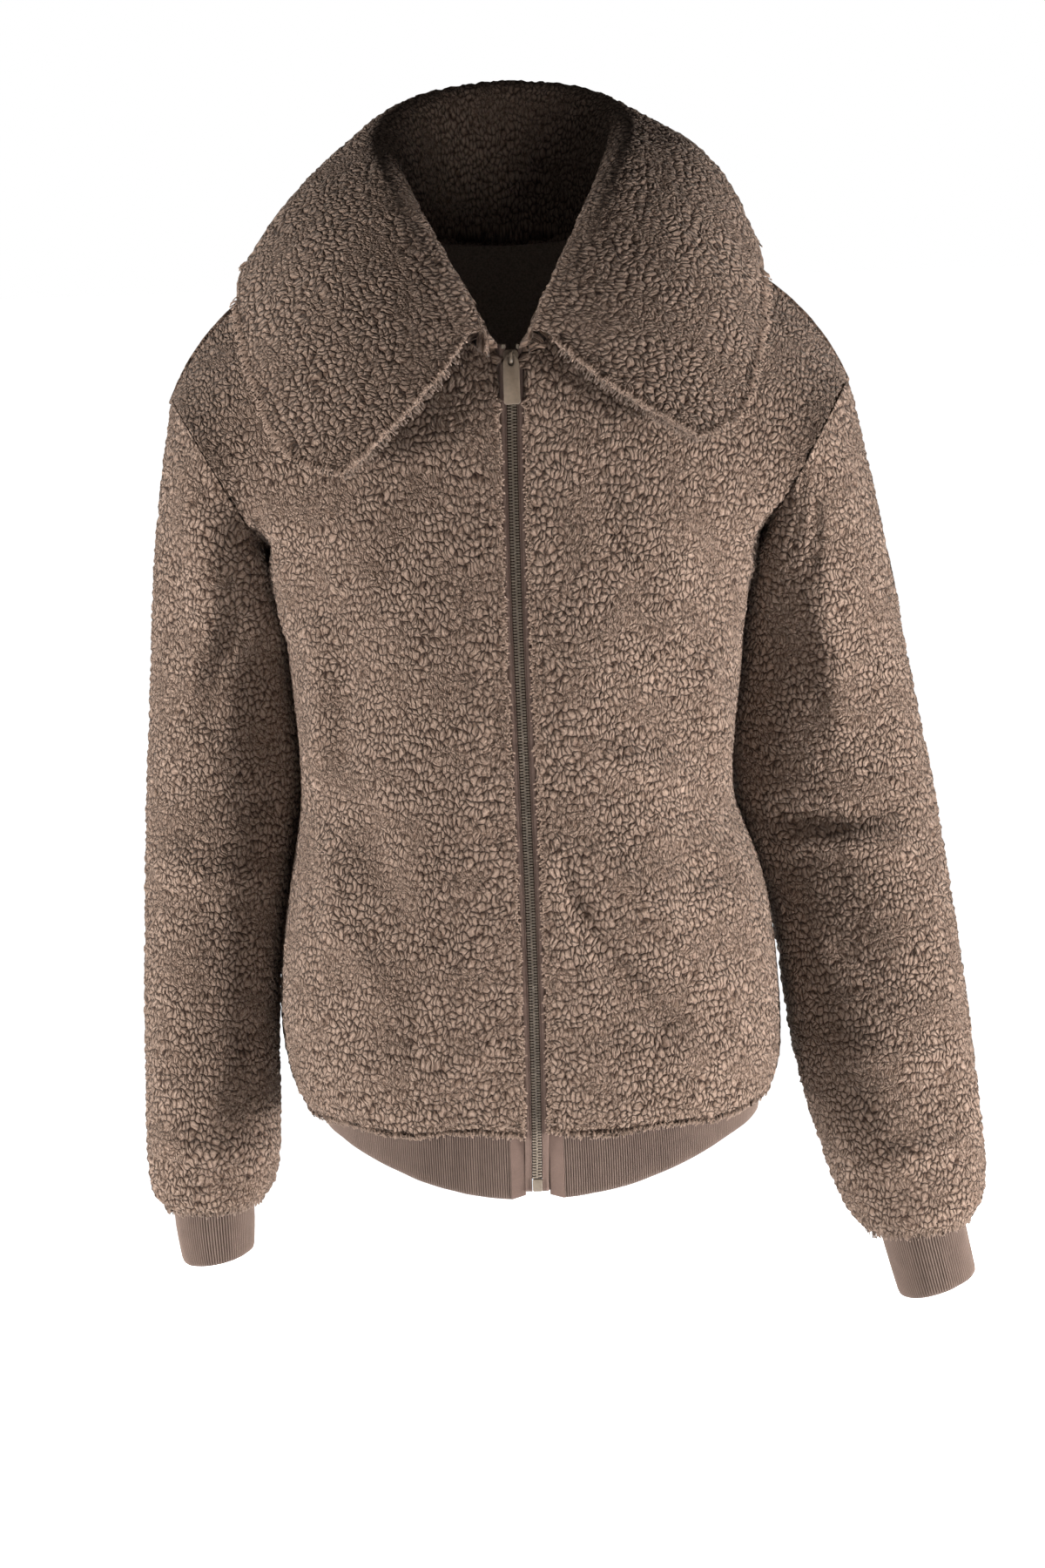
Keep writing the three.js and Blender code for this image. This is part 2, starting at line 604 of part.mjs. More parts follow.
// Sleeve rows from the armhole down to the turned edge above the cuff.
function sleeveGrid(side, sections, folds, grids) {
  const loop = armholeLoop(side, grids);
  const head = ring(side, sections[0]);
  const rows = [loop];
  for (let k = 0; k <= SLEEVE_ROWS; k++) {
    const section = between(sections, k / SLEEVE_ROWS);
    const settle = smooth((k + 1) / SLEEVE_HEAD_ROWS);
    rows.push(ring(side, section).map((p, c) => {
      const at = loop[c].clone().add(p).sub(head[c]).lerp(p, settle);
      const middle = V((side * (section.innerX + section.outerX)) / 2, section.mid, at.z);
      const depth = sleeveFold(folds, (360 * c) / SLEEVE_COLS, at.z) * smooth(k / 3);
      return at.addScaledVector(middle.sub(at).normalize(), depth);
    }));
  }
  rows.reverse();
  return { rows: side > 0 ? rows : rows.map((row) => row.slice().reverse()), closed: true };
}

// ---------------------------------------------------------------- ribbed bands
// A band of knit rib: `outline(t, down)` gives its outer face, t round the band and down from 0 to 1.
// Crests stand RIB_RELIEF over the grooves; the inside is plain, with one column for each rib.
function ribbedBand(outline, outwardAt, ribs, rowCount, closed) {
  const fineCount = closed ? 2 * ribs : 2 * ribs + 1;
  const coarseCount = closed ? ribs : ribs + 1;
  const points = [];
  const place = (t, down, out) => points.push(outline(t, down).addScaledVector(outwardAt(t, down), out)) - 1;
  const outer = [];
  for (let r = 0; r <= rowCount; r++) {
    const pointAt = (_, c) => place(c / (2 * ribs), r / rowCount, c % 2 ? 0 : -RIB_RELIEF);
    outer.push(Array.from({ length: fineCount }, pointAt));
  }
  const inner = [0, 1].map((down) =>
    Array.from({ length: coarseCount }, (_, c) => place(c / ribs, down, -RIB_WALL)));
  const triangles = [];
  const quad = (a, b, c, d) => triangles.push(a, b, c, a, c, d);
  const spans = closed ? fineCount : fineCount - 1;
  for (let r = 0; r < rowCount; r++) {
    for (let c = 0; c < spans; c++) {
      const next = (c + 1) % fineCount;
      quad(outer[r][c], outer[r][next], outer[r + 1][next], outer[r + 1][c]);
    }
  }
  for (let c = 0; c < ribs; c++) {
    const next = (c + 1) % coarseCount;
    quad(inner[0][c], inner[1][c], inner[1][next], inner[0][next]);
    const [a, crest, b] = [2 * c, 2 * c + 1, (2 * c + 2) % fineCount];
    const [top, bottom] = [outer[0], outer[rowCount]];
    triangles.push(inner[0][c], inner[0][next], top[crest]);
    triangles.push(inner[0][c], top[crest], top[a], inner[0][next], top[b], top[crest]);
    triangles.push(inner[1][next], inner[1][c], bottom[crest]);
    triangles.push(inner[1][c], bottom[a], bottom[crest], inner[1][next], bottom[crest], bottom[b]);
  }
  if (!closed) {
    for (const [side, flip] of [[0, false], [1, true]]) {
      const column = outer.map((row) => row[side ? fineCount - 1 : 0]);
      const [top, bottom] = [inner[0], inner[1]].map((row) => row[side ? coarseCount - 1 : 0]);
      for (let r = 0; r < rowCount; r++) {
        const face = [column[r], column[r + 1], r === 0 ? top : bottom];
        triangles.push(...(flip ? face.reverse() : face));
      }
      const seam = [top, column[1], bottom];
      triangles.push(...(flip ? seam.reverse() : seam));
    }
  }
  return meshGeometry(points, triangles);
}

function cuff(side, rings) {
  const outline = (t, down) => ringPoint(side, between(rings, down), 2 * Math.PI * t);
  const outward = (t) => V(-side * Math.cos(2 * Math.PI * t), -Math.sin(2 * Math.PI * t), 0);
  return ribbedBand(outline, outward, CUFF_RIBS, 2, true);
}

// The hem's outer face, t from the zip round by the wearer's left, the back and the right side.
function hemPoint(t, down) {
  const row = between(HEM, down);
  const angle = 2 * Math.PI * t;
  const half = Math.sin(angle) >= 0 ? row.left : row.right;
  const depth = Math.cos(angle) >= 0 ? -row.front : row.back;
  const x = half * Math.sign(Math.sin(angle)) * Math.abs(Math.sin(angle)) ** (2 / SECTION_POWER);
  const y = depth * Math.abs(Math.cos(angle)) ** (2 / SECTION_POWER);
  const ahead = Math.max(0, Math.cos(angle));
  return V(x, y, row.z - row.dip * ahead ** 3 + row.tuck * (x / half) ** 2);
}

function hemTurnAt(x) {
  const half = x > 0 ? HEM[0].left : HEM[0].right;
  const angle = Math.asin(Math.min(1, Math.abs(x) / half) ** (SECTION_POWER / 2));
  return (x > 0 ? angle : 2 * Math.PI - angle) / (2 * Math.PI);
}

function hemOutward(t, down) {
  const step = 0.002;
  const along = hemPoint(t + step, down).sub(hemPoint(t - step, down));
  return V(along.y, -along.x, 0).normalize();
}

function hemRib() {
  const first = hemTurnAt(ZIP_X + HEM_END);
  const last = hemTurnAt(ZIP_X - HEM_END);
  const at = (t) => first + (last - first) * t;
  return ribbedBand(
    (t, down) => hemPoint(at(t), down),
    (t, down) => hemOutward(at(t), down),
    HEM_RIBS, 2, false);
}

// The plain strip between the ribs and the zip, on one side.
function hemEnd(side) {
  const near = ZIP_X + side * (FRONT_EDGE + SEAM_GAP / 2);
  const far = ZIP_X + side * (HEM_END - SEAM_GAP);
  const face = (depth) => Array.from({ length: FACING.rows + 1 }, (_, r) =>
    Array.from({ length: FACING.columns + 1 }, (_, c) => {
      const x = near + ((far - near) * c) / FACING.columns;
      return hemPoint(hemTurnAt(x), 1 - r / FACING.rows).add(V(0, depth - FACING.behind, -FACING.lower));
    }));
  return wallSolid(face(0), face(FACING.wall));
}

// ---------------------------------------------------------------- collar
// One section of the collar: up the stand, over the roll and down the fall.
function collarSection(side, row) {
  const neck = V(row.neckX, row.neckY, row.neckZ);
  const roll = V(row.rollX, row.rollY, row.rollZ);
  const edge = V(row.edgeX, row.edgeY, row.edgeZ);
  const away = edge.clone().sub(roll).setZ(0).normalize();
  const up = V(0, 0, 1);
  const radius = Math.min(ROLL_RADIUS, Math.max(ROLL_LEAST, (row.rollZ - row.neckZ) * ROLL_ON_STAND));
  const centre = roll.clone().addScaledVector(up, -radius);
  const onRoll = (degrees) => {
    const a = (degrees * Math.PI) / 180;
    const p = centre.clone().addScaledVector(away, -radius * Math.cos(a));
    return p.addScaledVector(up, radius * Math.sin(a));
  };
  const standTop = onRoll(ROLL_TURNS[0]);
  const points = STAND_STEPS.map((t) => neck.clone().lerp(standTop, t));
  for (const degrees of ROLL_TURNS) points.push(onRoll(degrees));
  const start = onRoll(FALL_FROM);
  const fall = edge.clone().sub(start);
  const swell = away.clone().multiplyScalar(-fall.z).addScaledVector(up, fall.dot(away)).normalize();
  for (const t of FALL_STEPS) {
    const p = start.clone().addScaledVector(fall, t);
    const arch = 4 * t * (1 - t) * (1.25 - 0.5 * t);
    points.push(p.addScaledVector(swell, row.bulge * arch).addScaledVector(V(0, -1, 0), row.puff * arch));
  }
  return points.map((p) => V(side * p.x, p.y, p.z));
}

// The collar's middle surface: columns from the wearer's right front end round the back to the left end.
function collarGrid() {
  const columnAt = (side, k) => {
    const sections = side > 0 ? COLLAR_LEFT : COLLAR_RIGHT;
    return collarSection(side, between(sections, k / COLLAR_STEPS));
  };
  const columns = [];
  for (let k = COLLAR_STEPS; k > 0; k--) columns.push(columnAt(1, k));
  for (let k = 0; k <= COLLAR_STEPS; k++) columns.push(columnAt(-1, k));
  return { rows: columns[0].map((_, r) => columns.map((column) => column[r])) };
}

function collar(cutters) {
  const grid = collarGrid();
  const normals = sharedNormals([grid]);
  const half = COLLAR_THICK / 2;
  const last = grid.rows.length - 1;
  const taper = (r, c) => {
    const columns = grid.rows[0].length - 1;
    const rim = Math.min(last - r, c / 1.5, (columns - c) / 1.5);
    return half * (COLLAR_RIM + (1 - COLLAR_RIM) * smooth(rim / 1.2));
  };
  const layer = (sign) => grid.rows.map((row, r) => row.map((p, c) =>
    p.clone().addScaledVector(normals.get(keyOf(p)), sign * taper(r, c))));
  return carve(wallSolid(layer(1), layer(-1)), cutters);
}

// ---------------------------------------------------------------- zip
// The zip line: x and the y of the zip's face for a height.
function zipLine(z) {
  let y;
  const down = clamp01((BODY[1].z - z) / HEM_ZIP.tall);
  if (z < BODY[1].z) y = hemPoint(hemTurnAt(HEM_ZIP.aside), down).y - HEM_ZIP.ahead;
  else if (z < BODY.at(-1).z) y = -between(BODY, placeOf(BODY, 'z', z, 1)).front + ZIP_SINK;
  else y = between(YOKE_FRONT, placeOf(YOKE_FRONT, 'neckZ', z)).neckY + ZIP_SINK;
  return V(zipX(z), y, z);
}

// A strip along the zip between two distances from its line and two depths behind its face.
function zipStrip(zTop, zBottom, from, to, depth0, depth1, rows = ZIP_ROWS) {
  const grid = (depth) => Array.from({ length: rows + 1 }, (_, r) => {
    const line = smoothZip(zBottom + ((zTop - zBottom) * r) / rows);
    return [from, to].map((x) => V(line.x + x, line.y + depth, line.z));
  });
  return wallSolid(grid(depth0), grid(depth1));
}

// The zip line averaged over a short stretch, so that the stiff zip bends gently.
function smoothZip(z) {
  const sum = V(0, 0, 0);
  const reach = [-24, -12, 0, 12, 24]; // heights above and below that share in the mean
  for (const d of reach) sum.add(zipLine(Math.min(ZIP_TOP, Math.max(ZIP_BOTTOM, z + d))));
  sum.divideScalar(reach.length);
  return V(zipLine(z).x, sum.y, z);
}

function extruded(shape, depth) {
  return mergeSolid(new THREE.ExtrudeGeometry(shape, { depth, bevelEnabled: false, curveSegments: 6 }));
}

function mergeSolid(geometry) {
  geometry.deleteAttribute('normal');
  geometry.deleteAttribute('uv');
  return mergeVertices(geometry, 1e-4);
}

// A plate drawn in x and z with its front face at y = 0 and its back at y = thick.
function plate(corners, thick, hole) {
  const shape = new THREE.Shape(corners.map(([x, z]) => new THREE.Vector2(x, z)));
  if (hole) shape.holes.push(new THREE.Path(hole.map(([x, z]) => new THREE.Vector2(x, z))));
  const geometry = extruded(shape, thick);
  geometry.rotateX(Math.PI / 2);
  geometry.translate(0, thick, 0);
  return outwards(geometry);
}

function boxCorners() {
  const [half, top, cut, near] = [BOX.wide / 2, BOX.tall, BOX.corner, BOX.corner * 0.3];
  const upper = [[-half, top - cut], [-half + near, top - near], [-half + cut, top]];
  const upperRight = upper.map(([x, z]) => [-x, z]).reverse();
  const lower = [...upper, ...upperRight].map(([x, z]) => [x, top - z]).reverse();
  return [...upper, ...upperRight, ...lower];
}

// The slider: a shield with a bridge over its face; its own origin is its top edge on the zip's face.
function sliderGeometry() {
  const { tall, wideTop, wideBottom, thick } = SLIDER;
  const rightEdge = [
    [wideBottom / 2 - 0.8, -tall], [wideBottom / 2, -tall + 0.8], [wideBottom / 2, -7.4],
    [wideTop / 2, -4.4], [wideTop / 2, -1.8], [wideTop / 2 - 1.6, 0],
  ];
  const leftEdge = rightEdge.map(([x, z]) => [-x, z]).reverse();
  const shield = plate([...leftEdge, ...rightEdge], thick);
  shield.translate(0, -thick / 2, 0);
  const bridge = new THREE.Shape();
  const { top, foot } = BRIDGE;
  const low = top - BRIDGE.tall;
  bridge.moveTo(0.5, top);
  bridge.lineTo(-BRIDGE.out * 0.55, top);
  bridge.quadraticCurveTo(-BRIDGE.out, top, -BRIDGE.out, top - 2.2);
  bridge.lineTo(-BRIDGE.out, low + 2.6);
  bridge.quadraticCurveTo(-BRIDGE.out, low, -BRIDGE.out * 0.4, low);
  bridge.lineTo(0.5, low);
  bridge.lineTo(0.5, low + foot);
  bridge.lineTo(-BRIDGE.out + BRIDGE.bar + 0.9, low + foot);
  bridge.lineTo(-BRIDGE.out + BRIDGE.bar, low + foot + 1);
  bridge.lineTo(-BRIDGE.out + BRIDGE.bar, top - foot - 0.6);
  bridge.lineTo(-BRIDGE.out + BRIDGE.bar + 0.6, top - foot);
  bridge.lineTo(0.5, top - foot);
  const arch = extruded(bridge, BRIDGE.wide);
  // The drawing's x is the arch's y, its y the arch's z, and its depth the arch's x.
  arch.applyMatrix4(new THREE.Matrix4().set(
    0, 0, 1, -BRIDGE.wide / 2,
    1, 0, 0, -thick / 2,
    0, 1, 0, 0,
    0, 0, 0, 1));
  return join([shield, outwards(arch)]);
}

// The pull tab hangs from the bar at its own origin, which is the hinge's axis.
function tabGeometry() {
  const half = TAB.wide / 2;
  const bar = TAB.bar / 2;
  const rightEdge = [
    [half - 3.4, bar], [half - 1.2, -1.6], [half, -5.4], [half, -TAB.tall + 1.2], [half - 1.2, -TAB.tall],
  ];
  const outline = [...rightEdge, ...rightEdge.map(([x, z]) => [-x, z]).reverse()];
  const w = TAB.windowWide / 2;
  const hole = [
    [-w, -bar], [-w, -TAB.windowTall + 1.4], [-w + 1.4, -TAB.windowTall],
    [w - 1.4, -TAB.windowTall], [w, -TAB.windowTall + 1.4], [w, -bar],
  ];
  const tab = plate(outline, TAB.thick, hole);
  tab.translate(0, -TAB.thick / 2, 0);
  return tab;
}

// ---------------------------------------------------------------- sleeve pocket
// The pocket's frame: x out of the sleeve, z up along it, the origin on the fleece's face.
function pocketFrame(sleeve) {
  const column = sleeve.rows.map((row) => row[SLEEVE_COLS / 2]);
  const r = column.findIndex((p) => p.z > POCKET.z);
  const [low, high] = [column[r - 1], column[r]];
  const place = low.clone().lerp(high, (POCKET.z - low.z) / (high.z - low.z));
  const up = high.clone().sub(low).setY(0).normalize();
  const out = V(up.z, 0, -up.x);
  place.y -= POCKET.ahead;
  return new THREE.Matrix4().makeBasis(out, V(0, 1, 0), up).setPosition(place);
}

function pocketBlock(depth, wide, tall, face) {
  return mergeSolid(new THREE.BoxGeometry(depth, wide, tall).translate(face - depth / 2, 0, 0));
}

// A flat placket with a closed slit down its middle.
function placketGeometry() {
  const { recess, plate: thick, wide, tall, slit, slitDeep } = POCKET;
  const face = thick + SEAM_GAP - recess;
  const body = pocketBlock(thick, wide - 2 * SEAM_GAP, tall - 2 * SEAM_GAP, face);
  const groove = pocketBlock(2 * slitDeep, slit, tall - 9, face + slitDeep);
  return carve(body, [groove]);
}

// ---------------------------------------------------------------- assembly
const jacket = new THREE.Group();

function add(name, geometry, look, position) {
  const mesh = new THREE.Mesh(geometry, new THREE.MeshStandardMaterial(look));
  mesh.name = name;
  if (position) mesh.position.copy(position);
  jacket.add(mesh);
  return mesh;
}

const grids = bodyGrids();
grids.sleeveLeft = sleeveGrid(1, SLEEVE_LEFT, LEFT_SLEEVE_FOLDS, grids);
grids.sleeveRight = sleeveGrid(-1, SLEEVE_RIGHT, RIGHT_SLEEVE_FOLDS, grids);
const normals = sharedNormals(Object.values(grids));
for (const row of grids.frontLeft.rows) squareToFront(normals.get(keyOf(row[0])), row[0]);
for (const row of grids.frontRight.rows) squareToFront(normals.get(keyOf(row.at(-1))), row.at(-1));

const panelSeams = ['bottom', 'top', 'start', 'end'];
const wider = 0.35; // room between the collar and the panels below it
const clearance = (grid) => panel(grid, normals, FLEECE + wider, panelSeams, wider, -2 * SEAM_GAP);

add('front_right', panel(grids.frontRight, normals, FLEECE, panelSeams), CLOTH);
add('front_left', panel(grids.frontLeft, normals, FLEECE, panelSeams), CLOTH);
add('back', panel(grids.back, normals, FLEECE, panelSeams), CLOTH);
add('sleeve_right', panel(grids.sleeveRight, normals, FLEECE, ['bottom', 'top']), CLOTH);
const pocketPlace = pocketFrame(grids.sleeveLeft);
const pocketRecess = pocketBlock(POCKET.recess + 10, POCKET.wide, POCKET.tall, 10).applyMatrix4(pocketPlace);
add('sleeve_left', carve(panel(grids.sleeveLeft, normals, FLEECE, ['bottom', 'top']), [pocketRecess]), CLOTH);
add('sleeve_pocket', placketGeometry().applyMatrix4(pocketPlace), TAPE);
add('collar', collar([grids.frontRight, grids.frontLeft, grids.back].map(clearance)), CLOTH);
add('hem_rib', hemRib(), KNIT);
add('hem_end_right', hemEnd(-1), KNIT);
add('hem_end_left', hemEnd(1), KNIT);
add('cuff_right', cuff(-1, CUFF_RIGHT), KNIT);
add('cuff_left', cuff(1, CUFF_LEFT), KNIT);

// The slider and its tab lean with the zip; the tab hangs on the bridge and lies along the chain.
const runDown = smoothZip(SLIDER_TOP - TAB.tall).sub(smoothZip(SLIDER_TOP));
const lean = new THREE.Euler(-Math.atan2(-runDown.y, -runDown.z), 0, 0);
const sliderPlace = smoothZip(SLIDER_TOP);
const sliderFrame = new THREE.Matrix4().makeRotationFromEuler(lean).setPosition(sliderPlace);

const tapeInner = CHAIN_HALF + SEAM_GAP;
const tapeOuter = FRONT_EDGE - SEAM_GAP;
const sliderBottom = SLIDER_TOP - SLIDER.tall;
const sliderRoom = new THREE.BoxGeometry(SLIDER.wideTop + 0.8, 2 * SLIDER.thick, SLIDER.tall + 0.8);
sliderRoom.translate(0, 0, -SLIDER.tall / 2).applyMatrix4(sliderFrame);
for (const [name, side] of [['zip_tape_right', -1], ['zip_tape_left', 1]]) {
  const tape = zipStrip(ZIP_TOP, ZIP_BOTTOM, side * tapeInner, side * tapeOuter, 0, TAPE_THICK);
  add(name, carve(tape, [sliderRoom]), TAPE);
}
const chainTop = sliderBottom - SEAM_GAP;
const chainBottom = ZIP_BOTTOM + BOX.tall + SEAM_GAP;
const chainBack = CHAIN_THICK - CHAIN_AHEAD;
const chain = zipStrip(chainTop, chainBottom, -CHAIN_HALF, CHAIN_HALF, -CHAIN_AHEAD, chainBack);
add('zip_chain', chain, TEETH);
for (const [name, side] of [['zip_stop_right', -1], ['zip_stop_left', 1]]) {
  const stop = outwards(mergeSolid(new THREE.BoxGeometry(STOP.wide, STOP.thick, STOP.tall)));
  const out = V(side * (tapeInner + STOP.wide / 2), -STOP.thick / 2 - 3 * SEAM_GAP, -STOP.tall / 2);
  add(name, stop, TEETH, smoothZip(ZIP_TOP).add(out));
}
const boxPlace = smoothZip(ZIP_BOTTOM);
add('zip_box', plate(boxCorners(), BOX.thick), METAL, boxPlace.clone().add(V(0, -BOX.ahead, 0)));
add('zip_slider', sliderGeometry(), METAL, sliderPlace).rotation.copy(lean);
const barPlace = V(0, -SLIDER.thick / 2 - TAB_OUT, -TAB_DOWN).applyEuler(lean).add(sliderPlace);
add('zip_pull', tabGeometry(), METAL, barPlace).rotation.copy(lean);

export default jacket;
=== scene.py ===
"""The fleece jacket's looks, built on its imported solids."""

import heapq
import json
import math

import bmesh
import bpy
import numpy as np
from mathutils import Matrix, Quaternion, Vector
from mathutils.kdtree import KDTree

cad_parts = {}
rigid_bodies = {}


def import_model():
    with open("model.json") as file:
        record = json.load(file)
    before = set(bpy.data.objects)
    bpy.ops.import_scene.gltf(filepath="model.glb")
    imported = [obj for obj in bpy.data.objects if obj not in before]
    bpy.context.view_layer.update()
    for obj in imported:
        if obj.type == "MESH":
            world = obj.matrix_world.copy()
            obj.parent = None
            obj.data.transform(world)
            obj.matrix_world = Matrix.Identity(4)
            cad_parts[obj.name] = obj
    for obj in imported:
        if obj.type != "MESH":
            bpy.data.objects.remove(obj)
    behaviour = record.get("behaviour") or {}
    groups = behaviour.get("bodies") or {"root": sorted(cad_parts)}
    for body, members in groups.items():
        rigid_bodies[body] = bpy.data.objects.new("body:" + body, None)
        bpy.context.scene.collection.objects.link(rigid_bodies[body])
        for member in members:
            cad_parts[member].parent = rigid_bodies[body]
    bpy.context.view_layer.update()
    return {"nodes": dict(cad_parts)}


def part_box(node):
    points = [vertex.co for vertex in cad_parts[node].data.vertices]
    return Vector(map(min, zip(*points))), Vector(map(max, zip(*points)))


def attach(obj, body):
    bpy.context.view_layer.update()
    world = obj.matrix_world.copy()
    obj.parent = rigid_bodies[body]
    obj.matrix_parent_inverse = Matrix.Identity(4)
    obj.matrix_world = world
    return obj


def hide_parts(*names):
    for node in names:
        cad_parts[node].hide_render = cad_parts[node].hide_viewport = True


MM = 0.001
ZIP_X = 1.5  # the zip's line, millimetres
SHARP = 0.75  # radians between two faces, from which their edge counts as sharp
NO_TRIANGLES = np.zeros((0, 3), int)

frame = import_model()
NODES = frame["nodes"]


# -------- node trees
class Net:
    """Adds nodes to a shader or geometry tree; values may be numbers or other nodes' outputs."""

    def __init__(self, tree):
        self.tree = tree

    def node(self, kind, settings=None, **values):
        made = self.tree.nodes.new(kind)
        for key, value in (settings or {}).items():
            setattr(made, key, value)
        for key, value in values.items():
            self.put(made.inputs[key.replace("_", " ")], value)
        return made

    def put(self, socket, value):
        if isinstance(value, bpy.types.NodeSocket):
            self.tree.links.new(value, socket)
        else:
            socket.default_value = value

    def math(self, operation, a, b=0.0, c=0.0, clamp=False):
        made = self.node("ShaderNodeMath", {"operation": operation, "use_clamp": clamp})
        for socket, value in zip(made.inputs, (a, b, c)):
            self.put(socket, value)
        return made.outputs[0]

    def vector(self, operation, a, b=None, scale=None):
        made = self.node("ShaderNodeVectorMath", {"operation": operation})
        self.put(made.inputs[0], a)
        if b is not None:
            self.put(made.inputs[1], b)
        if scale is not None:
            self.put(made.inputs["Scale"], scale)
        return made.outputs["Value" if operation in ("LENGTH", "DOT_PRODUCT") else "Vector"]

    def stored(self, name):
        return self.node("ShaderNodeAttribute", {"attribute_name": name}).outputs["Fac"]

    def here(self):
        return self.node("ShaderNodeTexCoord").outputs["Object"]

    def span(self, value, low, high, to_low=0.0, to_high=1.0, smooth=True):
        kind = "SMOOTHSTEP" if smooth else "LINEAR"
        made = self.node("ShaderNodeMapRange", {"interpolation_type": kind})
        for socket, number in zip(made.inputs, (value, low, high, to_low, to_high)):
            self.put(socket, number)
        return made.outputs["Result"]

    def noise(self, vector, scale, detail=1.0, rough=0.5, distort=0.0):
        return self.node("ShaderNodeTexNoise", Vector=vector, Scale=scale, Detail=detail,
                         Roughness=rough, Distortion=distort)

    def voronoi(self, vector, scale, feature="F1", randomness=0.85, flat=False):
        settings = {"feature": feature, "voronoi_dimensions": "2D" if flat else "3D"}
        return self.node("ShaderNodeTexVoronoi", settings, Vector=vector, Scale=scale, Randomness=randomness)


# -------- the pile's pattern
CLUMP = 3.6 * MM  # the usual width of a clump of curls
NAP = 1.7 * MM  # and of a curl where the pile is combed
HEAP = 6.0 * MM  # the width of the heaps that show at the outline
RELIEF = 2.8 * MM  # and how far they raise it
HEAP_LEAN = 0.8 * MM  # and how far their tops hang down
SEAM_FILL = 1.6 * MM  # how far the pile stands up over a seam
SEAM_LAP = 1.9 * MM  # and how far it spreads across one


def shifted(net, start, place, width, far):
    """The start moved by smooth noise of a width, by up to half of far each way."""
    about_zero = net.vector("SUBTRACT", net.noise(place, 1 / width).outputs["Color"], (0.5, 0.5, 0.5))
    return net.vector("ADD", start, net.vector("SCALE", about_zero, scale=far))


def domes(net, place, width, sharp, flat=True):
    """Round heaps a width apart, 1 on top and 0 in the creases, and how far down its heap a place is."""
    near = net.voronoi(place, 1 / width, flat=flat)
    second = net.voronoi(place, 1 / width, "F2", flat=flat).outputs["Distance"]
    share = net.math("DIVIDE", near.outputs["Distance"], second)
    away = net.vector("SCALE", net.vector("SUBTRACT", near.outputs["Position"], place), scale=1 / width)
    down = net.node("ShaderNodeSeparateXYZ", Vector=away).outputs[1 if flat else 2]
    return net.math("SUBTRACT", 1.0, net.math("POWER", share, sharp)), down


def locks(net, place, width, sharp, lap):
    """Heaps whose lower ends stand over the next ones, as hanging locks do."""
    heap, down = domes(net, place, width, sharp)
    return net.math("MULTIPLY_ADD", down, lap, net.math("MULTIPLY_ADD", heap, 1 - 0.5 * lap, 0.25 * lap))


def curls(net, place):
    """Height of the pile, 0 in the creases and 1 on the highest curls, with combed and finer places."""
    bent = shifted(net, place, place, 13 * MM, 9.0 * MM)
    bent = shifted(net, bent, place, 3.4 * MM, 2.6 * MM)
    large = locks(net, net.vector("MULTIPLY", bent, (1.0, 0.62, 1.0)), CLUMP, 1.8, 0.36)
    small = locks(net, net.vector("MULTIPLY", bent, (1.1, 0.55, 1.0)), NAP, 1.5, 0.45)
    combed = net.span(net.noise(place, 1 / (34 * MM), 2).outputs["Fac"], 0.44, 0.66)
    clumped = net.math("MULTIPLY", large, net.math("MULTIPLY_ADD", small, 0.3, 0.8))
    laid = net.math("MULTIPLY_ADD", small, 0.62, 0.02)
    laid = net.math("MULTIPLY_ADD", large, 0.30, laid)
    share = net.math("MULTIPLY", combed, 0.8)
    return net.math("MULTIPLY_ADD", net.math("SUBTRACT", laid, clumped), share, clumped)


def relief_tree():
    """Geometry nodes that raise the pile in heaps, leaning down a little, and fill the seams."""
    tree = bpy.data.node_groups.new("pile_relief", "GeometryNodeTree")
    tree.interface.new_socket("Geometry", in_out="INPUT", socket_type="NodeSocketGeometry")
    tree.interface.new_socket("Geometry", in_out="OUTPUT", socket_type="NodeSocketGeometry")
    net = Net(tree)
    source = net.node("NodeGroupInput")
    out = net.node("NodeGroupOutput")
    place = net.node("GeometryNodeInputPosition").outputs[0]
    bent = shifted(net, place, place, 9 * MM, 6.0 * MM)
    height = domes(net, bent, HEAP, 2.0, flat=False)[0]
    stored = {}
    for name in ("border", "loose"):
        read = net.node("GeometryNodeInputNamedAttribute", {"data_type": "FLOAT"})
        read.inputs["Name"].default_value = name
        stored[name] = read.outputs["Attribute"]
    rise = net.math("MULTIPLY", net.math("SUBTRACT", height, 0.6), RELIEF)
    rise = net.math("MULTIPLY", rise, stored["loose"])
    rise = net.math("ADD", rise, net.math("MULTIPLY", stored["border"], SEAM_FILL))
    up = net.vector("SCALE", net.node("GeometryNodeInputNormal").outputs[0], scale=rise)
    lean = net.vector("SCALE", (0.0, 0.0, -1.0), scale=net.math("MULTIPLY", height, HEAP_LEAN))
    move = net.node("GeometryNodeSetPosition")
    net.put(move.inputs["Geometry"], source.outputs[0])
    net.put(move.inputs["Offset"], net.vector("ADD", up, lean))
    net.put(out.inputs[0], move.outputs["Geometry"])
    return tree


# -------- materials
def material(name, make):
    made = bpy.data.materials.new(name)
    made.use_nodes = True
    make(Net(made.node_tree), made.node_tree.nodes["Principled BSDF"])
    return made


def set_inputs(node, values):
    for name, value in values.items():
        node.inputs[name].default_value = value


def bump(net, shader, height, distance, strength=1.0, under=None):
    made = net.node("ShaderNodeBump", Height=height, Distance=distance, Strength=strength)
    if under is not None:
        net.put(made.inputs["Normal"], under)
    net.put(shader.inputs["Normal"], made.outputs[0])
    return made.outputs[0]


def ramp(net, value, *stops):
    made = net.node("ShaderNodeValToRGB", Fac=value)
    points = made.color_ramp.elements
    while len(points) < len(stops):
        points.new(0.5)
    for point, (place, colour) in zip(points, stops):
        point.position = place
        point.color = (*colour, 1.0)
    return made.outputs["Color"]


